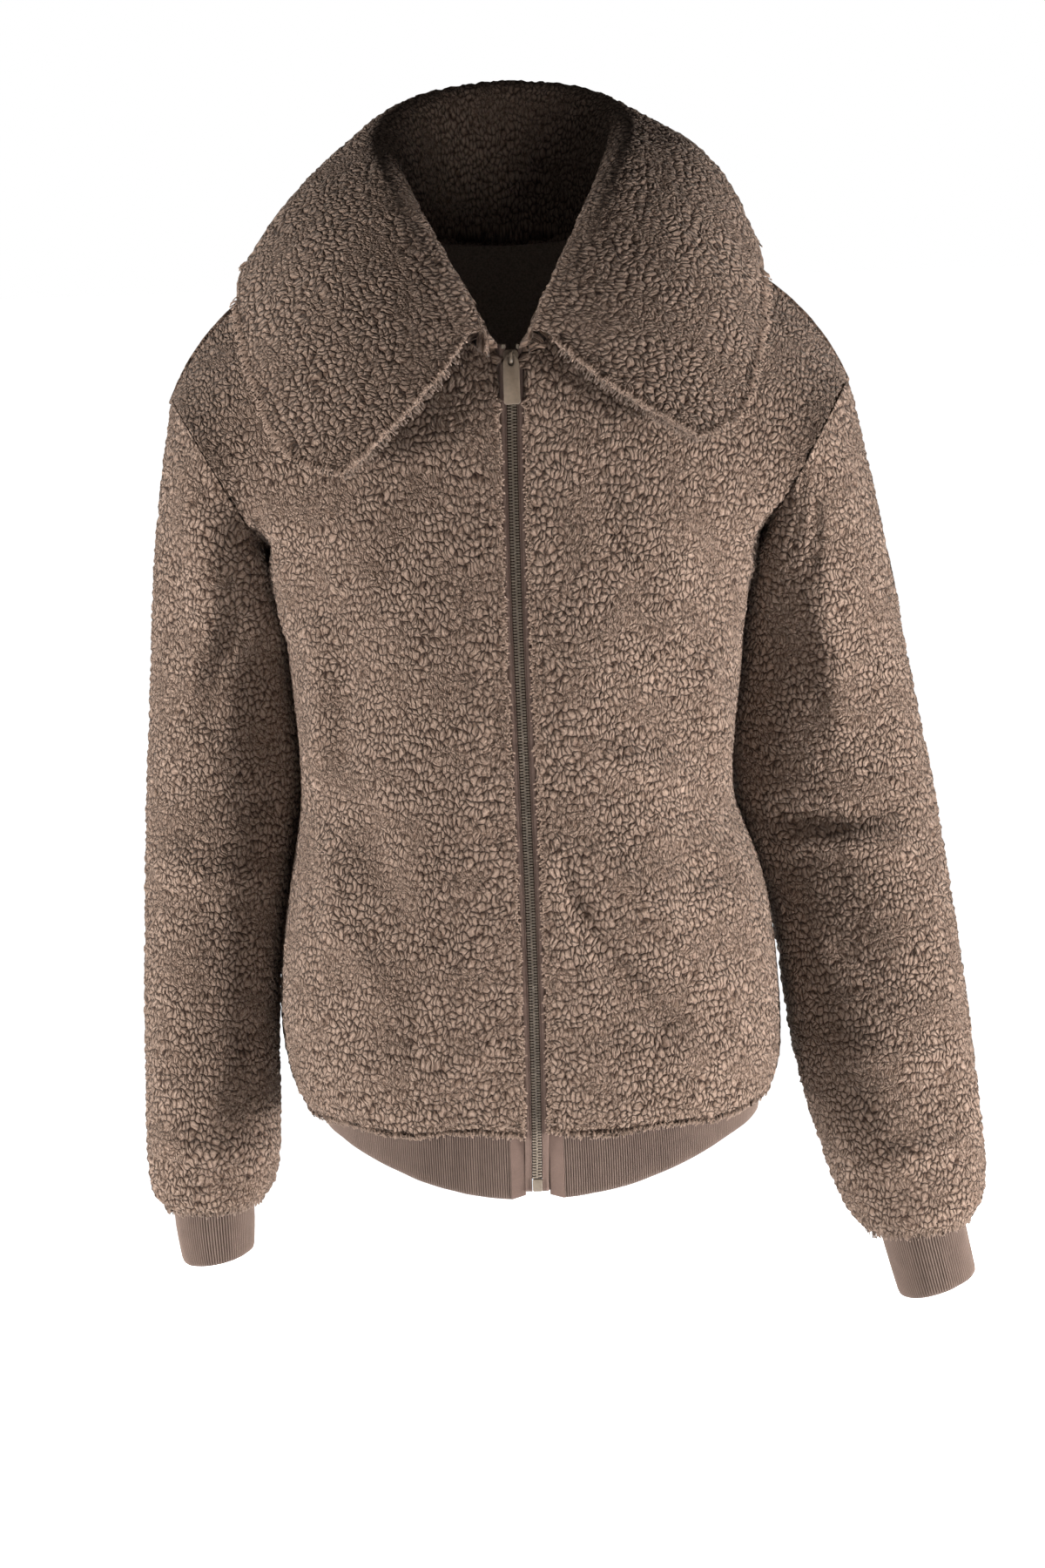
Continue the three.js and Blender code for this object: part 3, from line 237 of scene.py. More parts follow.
def darkened(net, share, colour, shade):
    """A colour multiplied by a shade where the share is 1."""
    made = net.node("ShaderNodeMix", {"data_type": "RGBA", "blend_type": "MULTIPLY"})
    net.put(made.inputs["Factor"], share)
    net.put(made.inputs[6], colour)
    net.put(made.inputs[7], (*shade, 1.0))
    return made.outputs[2]


# The pile's colours, from the creases up: the darkest ones are painted shade down in the creases and at the
# locks' roots.
ROOT_SHADE = (0.026, 0.013, 0.008)
MIDDLE = (0.088, 0.054, 0.037)
CURLS = (0.180, 0.122, 0.091)
TIPS = (0.282, 0.202, 0.156)


def soft_shine(shader, amount=0.12):
    set_inputs(shader, {
        "Roughness": 0.95, "Specular IOR Level": 0.15, "Sheen Weight": amount, "Sheen Roughness": 0.5,
        "Sheen Tint": (0.95, 0.82, 0.72, 1.0)})


def fleece_look(net, shader):
    flat = net.node("ShaderNodeUVMap", {"uv_map": "cloth"}).outputs[0]
    height = curls(net, flat)
    strands = net.vector("MULTIPLY", flat, (1.0, 0.45, 1.0))
    fibres = net.noise(strands, 1 / (0.8 * MM), 2, 0.65, 1.4).outputs["Fac"]
    patches = net.noise(flat, 1 / (55 * MM), 3, 0.6).outputs["Fac"]
    level = net.math("ADD", height, net.math("MULTIPLY", net.math("SUBTRACT", fibres, 0.5), 0.34))
    # The colour darkens down into the creases between the curls: painted shade.
    colour = ramp(net, level, (0.10, ROOT_SHADE), (0.34, MIDDLE), (0.62, CURLS), (1.0, TIPS))
    colour = darkened(net, net.span(patches, 0.35, 0.7, 0.0, 0.25), colour, (0.82, 0.79, 0.76))
    # Darker along the seams: painted shade where the pile dips between two pieces.
    border = net.stored("border")
    colour = darkened(net, net.span(border, 0.2, 1.0, 0.0, 0.8), colour, (0.42, 0.37, 0.34))
    net.put(shader.inputs["Base Color"], colour)
    soft_shine(shader)
    coarse = bump(net, shader, height, 2.3 * MM, 1.0)
    bump(net, shader, fibres, 0.55 * MM, 0.7, coarse)


def tuft_look(net, shader):
    along = net.stored("along")
    lot = net.stored("lot")
    place = net.here()
    fibres = net.noise(place, 1 / (0.8 * MM), 2, 0.65, 1.4).outputs["Fac"]
    level = net.math("ADD", along, net.math("MULTIPLY", net.math("SUBTRACT", fibres, 0.5), 0.7))
    # Darker towards a lock's root: painted shade where it stands in the pile.
    colour = ramp(net, level, (0.0, ROOT_SHADE), (0.25, MIDDLE), (0.6, CURLS), (0.95, TIPS))
    colour = darkened(net, net.span(lot, 0.0, 1.0, 0.0, 0.3, False), colour, (0.76, 0.72, 0.69))
    net.put(shader.inputs["Base Color"], colour)
    soft_shine(shader)
    bump(net, shader, fibres, 0.7 * MM, 0.8)


def backing_look(net, shader):
    place = net.here()
    loops = net.voronoi(place, 1 / (1.6 * MM)).outputs["Distance"]
    colour = ramp(net, loops, (0.0, (0.20, 0.15, 0.12)), (0.8, (0.11, 0.08, 0.062)))
    net.put(shader.inputs["Base Color"], colour)
    soft_shine(shader, 0.1)
    bump(net, shader, loops, 0.4 * MM, -0.6)


RIB_COLOUR = (0.134, 0.095, 0.077)


def knit_colour(net, shader, colour, shade=None):
    """Flat knit in one yarn: mottled a little, with fine stitches in its surface, and painted shade where a
    shade share is given.
    """
    place = net.here()
    mottle = net.noise(place, 1 / (9 * MM), 3, 0.6).outputs["Fac"]
    yarn = net.noise(place, 1 / (0.7 * MM), 2, 0.6, 0.8).outputs["Fac"]
    mix = net.math("MULTIPLY_ADD", yarn, 0.5, net.math("MULTIPLY", mottle, 0.5))
    tone = ramp(net, mix, (0.30, tuple(0.80 * c for c in colour)), (0.7, tuple(1.12 * c for c in colour)))
    if shade is not None:
        tone = darkened(net, shade, tone, (0.42, 0.36, 0.33))
    net.put(shader.inputs["Base Color"], tone)
    soft_shine(shader, 0.15)
    scale = 1 / (2 * math.pi * 0.28 * MM)
    rows = net.node("ShaderNodeTexWave", {"bands_direction": "Z"}, Vector=place, Scale=scale)
    set_inputs(rows, {"Distortion": 1.5, "Detail Scale": 2.0})
    under = bump(net, shader, rows.outputs["Fac"], 0.25 * MM, 0.5)
    bump(net, shader, yarn, 0.3 * MM, 0.5, under)


def rib_look(net, shader):
    groove = net.stored("groove")
    # Darker in the grooves between the ribs: painted shade.
    knit_colour(net, shader, RIB_COLOUR, net.span(groove, 0.1, 0.9, 0.0, 1.0, False))


def plain_knit(*colour):
    return lambda net, shader: knit_colour(net, shader, colour)


def enamel(net, shader, colour, rough):
    place = net.here()
    cloud = net.noise(place, 1 / (2.2 * MM), 3, 0.6).outputs["Fac"]
    scuffs = net.noise(place, 1 / (0.5 * MM), 2, 0.7, 2.0).outputs["Fac"]
    tone = ramp(net, cloud, (0.3, tuple(0.86 * c for c in colour)), (0.7, tuple(1.1 * c for c in colour)))
    net.put(shader.inputs["Base Color"], tone)
    net.put(shader.inputs["Roughness"], net.span(scuffs, 0.3, 0.75, rough - 0.08, rough + 0.14))
    bump(net, shader, scuffs, 0.06 * MM, 0.35)


def teeth_look(net, shader):
    enamel(net, shader, (0.150, 0.115, 0.082), 0.5)


def metal_look(net, shader):
    enamel(net, shader, (0.122, 0.088, 0.060), 0.45)
    set_inputs(shader, {"Coat Weight": 0.25, "Coat Roughness": 0.3})


LOOKS = {name: material(name, make) for name, make in (
    ("fleece", fleece_look), ("tufts", tuft_look), ("fleece_backing", backing_look), ("rib_knit", rib_look),
    ("facing", plain_knit(0.125, 0.082, 0.066)), ("zip_tape", plain_knit(0.132, 0.088, 0.071)),
    # zip_core is coloured about three times darker than the tape: painted shade behind the teeth.
    ("pocket_welt", plain_knit(0.120, 0.086, 0.072)), ("zip_core", plain_knit(0.040, 0.028, 0.022)),
    ("zip_teeth", teeth_look), ("zip_metal", metal_look),
)}


# -------- shells from the solids
def linked(name, data):
    made = bpy.data.objects.new(name, data)
    bpy.context.scene.collection.objects.link(made)
    return made


def welded(node):
    mesh = bmesh.new()
    mesh.from_mesh(NODES[node].data)
    bmesh.ops.remove_doubles(mesh, verts=mesh.verts, dist=0.01 * MM)
    return mesh


def sheets(mesh):
    """The faces in groups parted by sharp edges, the largest group first."""
    left = set(mesh.faces)
    groups = []
    while left:
        todo = [left.pop()]
        group = []
        while todo:
            face = todo.pop()
            group.append(face)
            for edge in face.edges:
                if len(edge.link_faces) != 2 or edge.calc_face_angle(math.pi) > SHARP:
                    continue
                for other in edge.link_faces:
                    if other in left:
                        left.remove(other)
                        todo.append(other)
        groups.append(group)
    return sorted(groups, key=lambda faces: -sum(f.calc_area() for f in faces))


def keep_only(mesh, faces):
    chosen = set(faces)
    bmesh.ops.delete(mesh, geom=[f for f in mesh.faces if f not in chosen], context="FACES")


def as_quads(mesh):
    bmesh.ops.join_triangles(
        mesh, faces=mesh.faces, angle_face_threshold=0.7, angle_shape_threshold=1.2,
        cmp_seam=False, cmp_sharp=False, cmp_uvs=False, cmp_vcols=False, cmp_materials=False)


def made_object(name, mesh, look):
    data = bpy.data.meshes.new(name)
    mesh.to_mesh(data)
    mesh.free()
    data.update()
    for polygon in data.polygons:
        polygon.use_smooth = True
    data.materials.append(LOOKS[look])
    return linked(name, data)


def numpy_object(name, points, quads, look, triangles=NO_TRIANGLES):
    """An object from arrays of points and of four- and three-sided faces."""
    data = bpy.data.meshes.new(name)
    loops = np.concatenate([quads.ravel(), triangles.ravel()]).astype(np.int32)
    starts = np.concatenate([4 * np.arange(len(quads)), 4 * len(quads) + 3 * np.arange(len(triangles))])
    data.vertices.add(len(points))
    data.vertices.foreach_set("co", np.asarray(points, np.float32).ravel())
    data.loops.add(len(loops))
    data.loops.foreach_set("vertex_index", loops)
    data.polygons.add(len(starts))
    data.polygons.foreach_set("loop_start", starts.astype(np.int32))
    data.polygons.foreach_set("use_smooth", np.ones(len(starts), bool))
    data.update(calc_edges=True)
    data.validate()
    data.materials.append(LOOKS[look])
    return linked(name, data)


def belongs(made, node=None, body="jacket"):
    """Gives a piece its body, and hides the solid that it replaces."""
    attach(made, body)
    if node:
        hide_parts(node)
    return made


def closed_up(obj, fill=True):
    """Closes an object's open ends, if asked to, and turns its faces outwards."""
    mesh = bmesh.new()
    mesh.from_mesh(obj.data)
    if fill:
        bmesh.ops.holes_fill(mesh, edges=[e for e in mesh.edges if len(e.link_faces) == 1])
    bmesh.ops.recalc_face_normals(mesh, faces=mesh.faces)
    mesh.to_mesh(obj.data)
    mesh.free()


def creased(mesh, amount):
    """Marks the sharp edges, so that subdividing keeps them."""
    crease = mesh.edges.layers.float.new("crease_edge")
    for edge in mesh.edges:
        if len(edge.link_faces) == 2 and edge.calc_face_angle(0.0) > SHARP:
            edge[crease] = amount


def read(items, key):
    found = np.empty(3 * len(items), np.float32)
    items.foreach_get(key, found)
    return found.reshape(-1, 3)


def store(obj, name, values):
    stored = obj.data.attributes.new(name, "FLOAT", "POINT")
    stored.data.foreach_set("value", np.asarray(values, np.float32))


def applied(obj):
    """Gives the object the mesh that its modifiers make."""
    graph = bpy.context.evaluated_depsgraph_get()
    data = bpy.data.meshes.new_from_object(obj.evaluated_get(graph), depsgraph=graph)
    obj.modifiers.clear()
    old = obj.data
    obj.data = data
    bpy.data.meshes.remove(old)
    return obj


def subdivided(obj, levels):
    step = obj.modifiers.new("subdivide", "SUBSURF")
    step.levels = levels
    step.boundary_smooth = "PRESERVE_CORNERS"
    return applied(obj)


def split_long(obj, longest):
    mesh = bmesh.new()
    mesh.from_mesh(obj.data)
    long = [e for e in mesh.edges if e.calc_length() > longest]
    bmesh.ops.subdivide_edges(mesh, edges=long, cuts=1, use_grid_fill=True)
    mesh.to_mesh(obj.data)
    mesh.free()


def path_between(start, end):
    """The edges of the shortest way over a mesh from one point to another."""
    best = {start: (0.0, None)}
    queue = [(0.0, start.index, start)]
    while queue:
        far, _, vert = heapq.heappop(queue)
        if vert is end:
            break
        for edge in vert.link_edges:
            other = edge.other_vert(vert)
            longer = far + edge.calc_length()
            if other not in best or longer < best[other][0]:
                best[other] = (longer, edge)
                heapq.heappush(queue, (longer, other.index, other))
    edges = []
    vert = end
    while best[vert][1] is not None:
        edges.append(best[vert][1])
        vert = edges[-1].other_vert(vert)
    return edges


def flattened(obj):
    """Lays the cloth flat in a UV map, in metres, with the least stretch."""
    for other in bpy.context.view_layer.objects:
        other.select_set(other == obj)
    bpy.context.view_layer.objects.active = obj
    obj.data.uv_layers.new(name="cloth")
    bpy.ops.object.mode_set(mode="EDIT")
    bpy.ops.mesh.select_all(action="SELECT")
    bpy.ops.uv.unwrap(method="MINIMUM_STRETCH", fill_holes=False, margin=0.0)
    bpy.ops.object.mode_set(mode="OBJECT")
    obj.select_set(False)
    mesh = bmesh.new()
    mesh.from_mesh(obj.data)
    layer = mesh.loops.layers.uv["cloth"]
    real = flat = 0.0
    for face in mesh.faces:
        real += face.calc_area()
        corners = [loop[layer].uv for loop in face.loops]
        flat += abs(sum(a.x * b.y - b.x * a.y for a, b in zip(corners, corners[1:] + corners[:1]))) / 2
    spots = [(*loop[layer].uv, loop.vert.co.z) for face in mesh.faces for loop in face.loops]
    u, v, z = (np.array(spots) - np.mean(spots, axis=0)).T
    upright = np.linalg.solve([[u @ u, u @ v], [u @ v, v @ v]], [u @ z, v @ z])
    turn = Matrix.Rotation(math.pi / 2 - math.atan2(upright[1], upright[0]), 2) * math.sqrt(real / flat)
    for face in mesh.faces:
        for loop in face.loops:
            loop[layer].uv = turn @ loop[layer].uv
    mesh.to_mesh(obj.data)
    mesh.free()


def unit(vectors):
    return vectors / np.maximum(np.linalg.norm(vectors, axis=-1, keepdims=True), 1e-9)


def rim_places(mesh, faces, step):
    """Places along the sharp edges round a group of faces: each with the group's normal and the rim's."""
    group = set(faces)
    found = []
    for edge in mesh.edges:
        if len(edge.link_faces) != 2:
            continue
        sides = sorted(edge.link_faces, key=lambda f: f not in group)
        if sides[0] not in group or sides[1] in group:
            continue
        a, b = (v.co for v in edge.verts)
        count = max(1, round((b - a).length / step))
        for i in range(count):
            found.append((*a.lerp(b, (i + 0.5) / count), *sides[0].normal, *sides[1].normal))
    return np.array(found).reshape(-1, 9)


def kd_tree(places):
    tree = KDTree(len(places))
    for i, place in enumerate(places):
        tree.insert(place, i)
    tree.balance()
    return tree


FLEECE_NODES = ("front_right", "front_left", "back", "sleeve_right", "sleeve_left", "collar")
RIMS = {}
for node in FLEECE_NODES:
    solid = welded(node)
    RIMS[node] = [rim_places(solid, group, 1.2 * MM) for group in sheets(solid)[:2]]
    solid.free()
RIM_TREES = {node: kd_tree([tuple(r[:3]) for rims in RIMS[node] for r in rims]) for node in FLEECE_NODES}
# How far apart the edges of two pieces are at most where they are sewn.
SEAM_REACH = 3.5 * MM
COLLAR_REACH = 13.0 * MM
POCKET_ROOM = 12 * MM  # round the pocket, where no lock stands


def to_next(node, place):
    """How far a place on a piece's edge is from the next piece's edge, in shares of what can be a seam."""
    return min(
        tree.find(place)[2] / (COLLAR_REACH if "collar" in (node, other) else SEAM_REACH)
        for other, tree in RIM_TREES.items() if other != node)


def is_free(node, place):
    """Whether locks stand there: on an edge well away from every seam and from the pocket."""
    low, high = (Vector(c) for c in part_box("sleeve_pocket"))
    in_pocket = all(low[i] - POCKET_ROOM < place[i] < high[i] + POCKET_ROOM for i in range(3))
    return not in_pocket and to_next(node, place) >= (1.9 if node == "collar" else 2.6)


# -------- fleece
RELIEF_TREE = relief_tree()
rng = np.random.default_rng(11)
# A lock's rings: how far up and how far over, in shares of its length, and how wide.
TUFT_RINGS = ((-0.2, 0.0, 1.0), (0.35, 0.25, 1.1), (0.42, 0.78, 0.9))
TUFT_TIP = (0.38, 1.0)
TUFT_SIDES = 5
TUFT_LIFT = 0.55  # how much of a lock's shading follows the cloth under it


def tufts(name, places, lifts, ways, lengths, widths):
    """One mesh of blunt locks of curls that rise along `lifts` and bend over along `ways`."""
    count = len(places)
    lift = unit(lifts + 0.14 * rng.normal(size=(count, 3)))
    bend = unit(ways + 0.20 * rng.normal(size=(count, 3)))
    points, along = [], []
    for up, over, wide in TUFT_RINGS:
        axis = unit(lift * (1.1 - over) + bend * over)
        first = unit(np.cross(axis, unit(rng.normal(size=(count, 3)))))
        second = np.cross(axis, first)
        middle = places + (lift * up + bend * over) * lengths[:, None]
        for k in range(TUFT_SIDES):
            turn = 2 * math.pi * k / TUFT_SIDES
            side = first * math.cos(turn) + second * math.sin(turn)
            points.append(middle + side * (widths * wide)[:, None])
            along.append(np.full(count, max(0.0, up + 0.4 * over)))
    points.append(places + (lift * TUFT_TIP[0] + bend * TUFT_TIP[1]) * lengths[:, None])
    along.append(np.ones(count))
    per = len(points)
    quads, caps = [], []
    for k in range(TUFT_SIDES):
        following = (k + 1) % TUFT_SIDES
        for low in range(0, per - 1 - TUFT_SIDES, TUFT_SIDES):
            quads.append((low + k, low + following, low + TUFT_SIDES + following, low + TUFT_SIDES + k))
        caps.append((per - 1 - TUFT_SIDES + k, per - 1 - TUFT_SIDES + following, per - 1))
    starts = per * np.arange(count)[:, None, None]
    made = numpy_object(
        name, np.stack(points, axis=1).reshape(-1, 3), (starts + np.array(quads)).reshape(-1, 4), "tufts",
        (starts + np.array(caps)).reshape(-1, 3))
    store(made, "along", np.stack(along, axis=1).ravel())
    store(made, "lot", np.repeat(rng.random(count), per))
    own = (1 - TUFT_LIFT) * read(made.data.vertex_normals, "vector")
    made.data.normals_split_custom_set_from_vertices(
        unit(own + TUFT_LIFT * np.repeat(unit(lifts), per, axis=0)))
    return belongs(made)


def edge_tufts(node, rims):
    """Locks along the edges of a piece that no other piece of fleece is sewn to."""
    free = np.array([r for group in rims for r in group if is_free(node, r[:3])])
    if node != "collar":
        free = np.concatenate([free, free[rng.random(len(free)) < 0.7]])
    outer, rim = free[:, 3:6], free[:, 6:9]
    count = len(free)
    at_zip = (np.abs(free[:, 0] - ZIP_X * MM) < 14 * MM) & (free[:, 2] < -60 * MM) & (free[:, 1] < 0)
    at_hem = (node != "collar") & (rim[:, 2] < -0.6)
    size = np.where(at_zip, 0.75, 0.9) * (1.35 if node == "collar" else 1.0) * np.where(at_hem, 1.2, 1.0)
    inset = rng.uniform(0.8, 4.5, (count, 1)) * MM
    places = free[:, :3] - rim * inset - outer * 1.6 * MM
    down = np.where(at_zip[:, None], 0.6, 0.5) * np.array([0.0, 0.0, -0.6])
    ways = rim * np.where(at_zip, 0.8, 1.0)[:, None] + (0.45 if node == "collar" else 0.12) * outer + down
    return tufts(
        f"{node}_tufts", places, outer + 0.3 * rim, ways,
        rng.uniform(3.0, 5.2, count) * size * MM, rng.uniform(0.5, 0.9, count) * MM)


def underarm_seam(mesh):
    """Cuts a tube open along its inner side, from the wrist to the armpit."""
    ends = [v for v in mesh.verts if any(len(e.link_faces) == 1 for e in v.link_edges)]
    mesh.verts.index_update()
    low = min(v.co.z for v in ends)
    high = max(v.co.z for v in ends)
    wrist = min((v for v in ends if v.co.z < low + 60 * MM), key=lambda v: abs(v.co.x))
    armpit = min((v for v in ends if v.co.z > (low + high) / 2), key=lambda v: v.co.z)
    for edge in path_between(wrist, armpit):
        edge.seam = True


# Soft folds of each piece's cloth, seen from the front: two ends, how far it stands out (in is less than 0),
# and its half width, millimetres. side is -1 on the front of the jacket, 1 on its back and 0 all round.
# side, x1, z1, x2, z2, out, half
FOLDS = {
    "front_right": (
        (0, -173, -192, -165, -250, 4.2, 22), (-1, -143, -262, -150, -372, 3.4, 11),
        (-1, -122, -285, -128, -352, -3, 10), (-1, -137, -420, -139, -474, 3, 12),
        (-1, -122, -482, -108, -520, 2.6, 13), (-1, -60, -150, -88, -232, -2.4, 16),
        (-1, -34, -300, -40, -392, 2.2, 15), (-1, -58, -470, -84, -556, -2.4, 13),
        (-1, -98, -562, -136, -578, 2.2, 11), (-1, -28, -552, -74, -582, 2.2, 12),
        (-1, -112, -392, -92, -452, -2.2, 12),
    ),
    "sleeve_right": (
        (0, -181, -204, -174, -262, 4, 22), (-1, -234, -150, -232, -300, 3.2, 16),
        (-1, -204, -262, -228, -330, -3, 11), (-1, -190, -392, -246, -414, -2.8, 10),
        (-1, -196, -446, -262, -438, 2.8, 12), (-1, -204, -560, -258, -588, -2.4, 11),
        (-1, -206, -648, -270, -640, 2.8, 11), (1, -200, -300, -252, -330, -2.8, 12),
        (1, -188, -410, -262, -424, 3, 12), (1, -200, -470, -262, -500, -2.8, 11),
        (1, -210, -610, -266, -630, 2.6, 13),
    ),
    "front_left": (
        (0, 168, -200, 173, -246, 4.2, 22), (-1, 24, -432, 96, -542, -3.8, 11),
        (-1, 51, -422, 108, -484, 3.2, 12), (-1, 61, -354, 109, -372, 3, 13),
        (-1, 24, -566, 150, -580, 2, 12), (-1, 52, -548, 80, -570, -2.2, 10),
        (-1, 62, -160, 96, -246, -2.4, 16), (-1, 134, -300, 142, -388, 3, 12),
        (-1, 112, -428, 148, -446, -2.6, 10), (-1, 32, -262, 44, -330, 2, 14),
        (-1, 118, -500, 150, -560, 2.6, 13),
    ),
    "sleeve_left": (
        (0, 180, -205, 186, -262, 4, 22), (-1, 190, -413, 268, -416, -3.6, 9),
        (-1, 196, -438, 276, -444, 3, 11), (-1, 214, -250, 232, -350, 2.6, 14),
        (-1, 232, -520, 290, -548, -2.6, 12), (-1, 226, -590, 292, -600, 2.4, 13),
        (-1, 250, -676, 308, -664, 2.8, 11), (1, 196, -320, 250, -352, -2.8, 12),
        (1, 200, -432, 278, -440, 3.2, 11), (1, 214, -500, 284, -532, -2.6, 12),
        (1, 240, -640, 300, -652, 2.6, 12),
    ),
    "back": (
        (1, -160, -190, -158, -250, 4, 22), (1, 160, -195, 164, -250, 4, 22),
        (1, -120, -160, -60, -300, -2.8, 16), (1, 112, -172, 58, -316, -2.6, 15),
        (1, -88, -380, 22, -410, 3.2, 13), (1, -30, -428, 92, -452, -2.8, 12),
        (1, -140, -470, -70, -520, 3, 13), (1, 52, -510, 146, -488, 3.2, 12),
        (1, -130, -572, -22, -588, 2.2, 11), (1, 14, -582, 132, -574, 2.2, 11),
        (1, -62, -556, -12, -572, -2.4, 9), (1, 78, -380, 128, -350, -2.2, 12),
    ),
}


FOLD_GAIN = 1.9  # on the table's heights
FOLD_LOW, FOLD_HIGH = -6 * MM, 9 * MM
FOLD_FADE = 20 * MM  # from a piece's edge to where a fold has its full height


def folded(pile, node):
    """Moves a piece's outer points out and in along its folds, which die away at its edges."""
    place, out = read(pile.data.vertices, "co"), read(pile.data.vertex_normals, "vector")
    move = np.zeros(len(place))
    for side, x1, z1, x2, z2, tall, half in FOLDS.get(node, ()):
        start, end = np.array([x1, z1]) * MM, np.array([x2, z2]) * MM
        way = end - start
        spot = place[:, [0, 2]] - start
        share = np.clip(spot @ way / (way @ way), 0, 1)
        bent = np.sin(math.pi * share) * 0.06 * np.linalg.norm(way) * (-1 if tall < 0 else 1)
        across = np.array([-way[1], way[0]]) / np.linalg.norm(way)
        far = np.linalg.norm(spot - share[:, None] * way - bent[:, None] * across, axis=1) / (half * MM)
        faces = np.clip(side * out[:, 1] * 2.5, 0, 1) if side else 1.0
        move += FOLD_GAIN * tall * MM * np.exp(-far ** 2) * faces * (0.65 + 0.35 * np.sin(math.pi * share))
    move = np.clip(move, FOLD_LOW, FOLD_HIGH)
    rim = np.clip(np.array([RIM_TREES[node].find(p)[2] for p in place]) / FOLD_FADE - 0.2, 0, 1)
    move *= rim * rim * (3 - 2 * rim)
    pile.data.vertices.foreach_set("co", (place + out * move[:, None]).astype(np.float32).ravel())
    pile.data.update()


BORDER = 5 * MM  # how far from a seam the pile leans over it
LOOSE = 12 * MM  # and from an edge the heaps grow to their height


def fleece(node, levels, longest, both_sides=False):
    """The pile over a wall's outer face and edges, and the cloth it stands on."""
    mesh = welded(node)
    inner = sheets(mesh)[1]
    made = []
    if not both_sides:
        under = mesh.copy()
        under.faces.ensure_lookup_table()
        keep_only(under, [under.faces[f.index] for f in inner])
        as_quads(under)
        cloth = subdivided(made_object(f"{node}_cloth", under, "fleece_backing"), 2)
        made.append(belongs(cloth, node))
        bmesh.ops.delete(mesh, geom=inner, context="FACES")
    else:
        under = set(inner)
        for edge in mesh.edges:
            edge.seam = len({f in under for f in edge.link_faces}) == 2
    creased(mesh, 0.6)
    as_quads(mesh)
    if node.startswith("sleeve"):
        underarm_seam(mesh)
    pile = made_object(f"{node}_pile", mesh, "fleece")
    flattened(pile)
    subdivided(pile, levels)
    folded(pile, node)
    split_long(pile, longest)
    rims = RIMS[node] if both_sides else RIMS[node][:1]
    sewn = [r for group in rims for r in group if to_next(node, r[:3]) < 1]
    seams = kd_tree([tuple(r[:3]) for r in sewn])
    others = [tree for other, tree in RIM_TREES.items() if other != node]
    laps = [SEAM_LAP + 0.6 * min(tree.find(r[:3])[2] for tree in others) for r in sewn]
    border, loose = [], []
    for vert in pile.data.vertices:
        loose.append(min(1.0, 0.25 + RIM_TREES[node].find(vert.co)[2] / LOOSE))
        _, nearest, far = seams.find(vert.co)
        border.append(max(0.0, 1 - far / BORDER))
        vert.co += Vector(sewn[nearest][6:9]) * (laps[nearest] * border[-1])
    store(pile, "border", border)
    store(pile, "loose", loose)
    smooth = read(pile.data.vertex_normals, "vector")
    step = pile.modifiers.new("relief", "NODES")
    step.node_group = RELIEF_TREE
    applied(pile)
    pile.data.materials.clear()
    pile.data.materials.append(LOOKS["fleece"])
    pile.data.polygons.foreach_set("use_smooth", np.ones(len(pile.data.polygons), bool))
    pile.data.normals_split_custom_set_from_vertices(smooth)
    belongs(pile, node if both_sides else None)
    return made + [pile, edge_tufts(node, rims)]


PILES = {node: fleece(node, 3, 3.1 * MM) for node in FLEECE_NODES if node != "collar"}
PILES["collar"] = fleece("collar", 2, 2.8 * MM, both_sides=True)


# -------- ribs
# The hem's outer face from its seam down, millimetres: half widths, depths, the dip at the zip and the
# lift at the sides.
# z, right, left, front, back, dip, tuck
HEM = (
    (-612.6, 154.4, 163.4, 118.6, 111.6, 0, 21),
    (-629, 155, 167, 119, 113, 10, 15),
    (-645, 154, 168, 117, 112, 26, 12),
)
# Cuffs: inner x and z, outer x and z, middle y, half depth.
CUFFS = {
    "cuff_right": (-1, ((211.4, -686.4, 271.4, -690.4, 4, 36.6), (211, -710, 270, -714, 2, 36),
                        (212, -732, 266, -740, 0, 34))),
    "cuff_left": (1, ((254.4, -725.4, 318.6, -717.4, 2, 35.6), (262, -755, 323, -742, 0, 35),
                      (270, -784, 328, -767, -2, 33))),
}
FULLNESS = 2.25  # of the hem's section, from an oval (2) towards a box
RIB_WALL, RIB_RELIEF = 3.2, 0.9
HEM_RIBS, CUFF_RIBS = 500, 100
RIB_CRESTS = (-1.0, -0.32, 0.0, -0.32)  # a rib's four columns of points, from its groove over its crest
HEM_END = 18.3  # from the zip's line to where the ribs begin
# Down the band and inwards: the outer face, the folded lower edge, the inner face.
RIB_SECTION = (
    (0, 0), (0.1, 0), (0.22, 0), (0.36, 0), (0.5, 0), (0.64, 0), (0.78, 0), (0.9, 0.1), (0.97, 0.55),
    (1, 1.6), (0.97, 2.7), (0.85, 3.15), (0.5, 3.2), (0.15, 3.2), (0, 3.2),
)


def between(rows, t):
    """Reads a table of rows as a smooth curve; t runs from 0 at the first row to 1 at the last."""
    place = min(1.0, max(0.0, t)) * (len(rows) - 1)
    i = min(len(rows) - 2, int(place))
    f = place - i
    a, b, c, d = (np.array(rows[min(len(rows) - 1, max(0, k))], float) for k in (i - 1, i, i + 1, i + 2))
    return b + 0.5 * f * (c - a + f * (2 * a - 5 * b + 4 * c - d + f * (3 * (b - c) + d - a)))


def hem_places(turns, down):
    """Places round the hem for an array of turns that starts at the zip and goes by the wearer's left."""
    z, right, left, front, back, dip, tuck = between(HEM, down)
    side, ahead = np.sin(2 * np.pi * turns), np.cos(2 * np.pi * turns)
    half = np.where(side >= 0, left, right)
    x = half * np.sign(side) * np.abs(side) ** (2 / FULLNESS)
    y = np.where(ahead >= 0, -front, back) * np.abs(ahead) ** (2 / FULLNESS)
    height = z - dip * np.maximum(0, ahead) ** 3 + tuck * (x / half) ** 2
    return np.stack([x, y, height], axis=1)


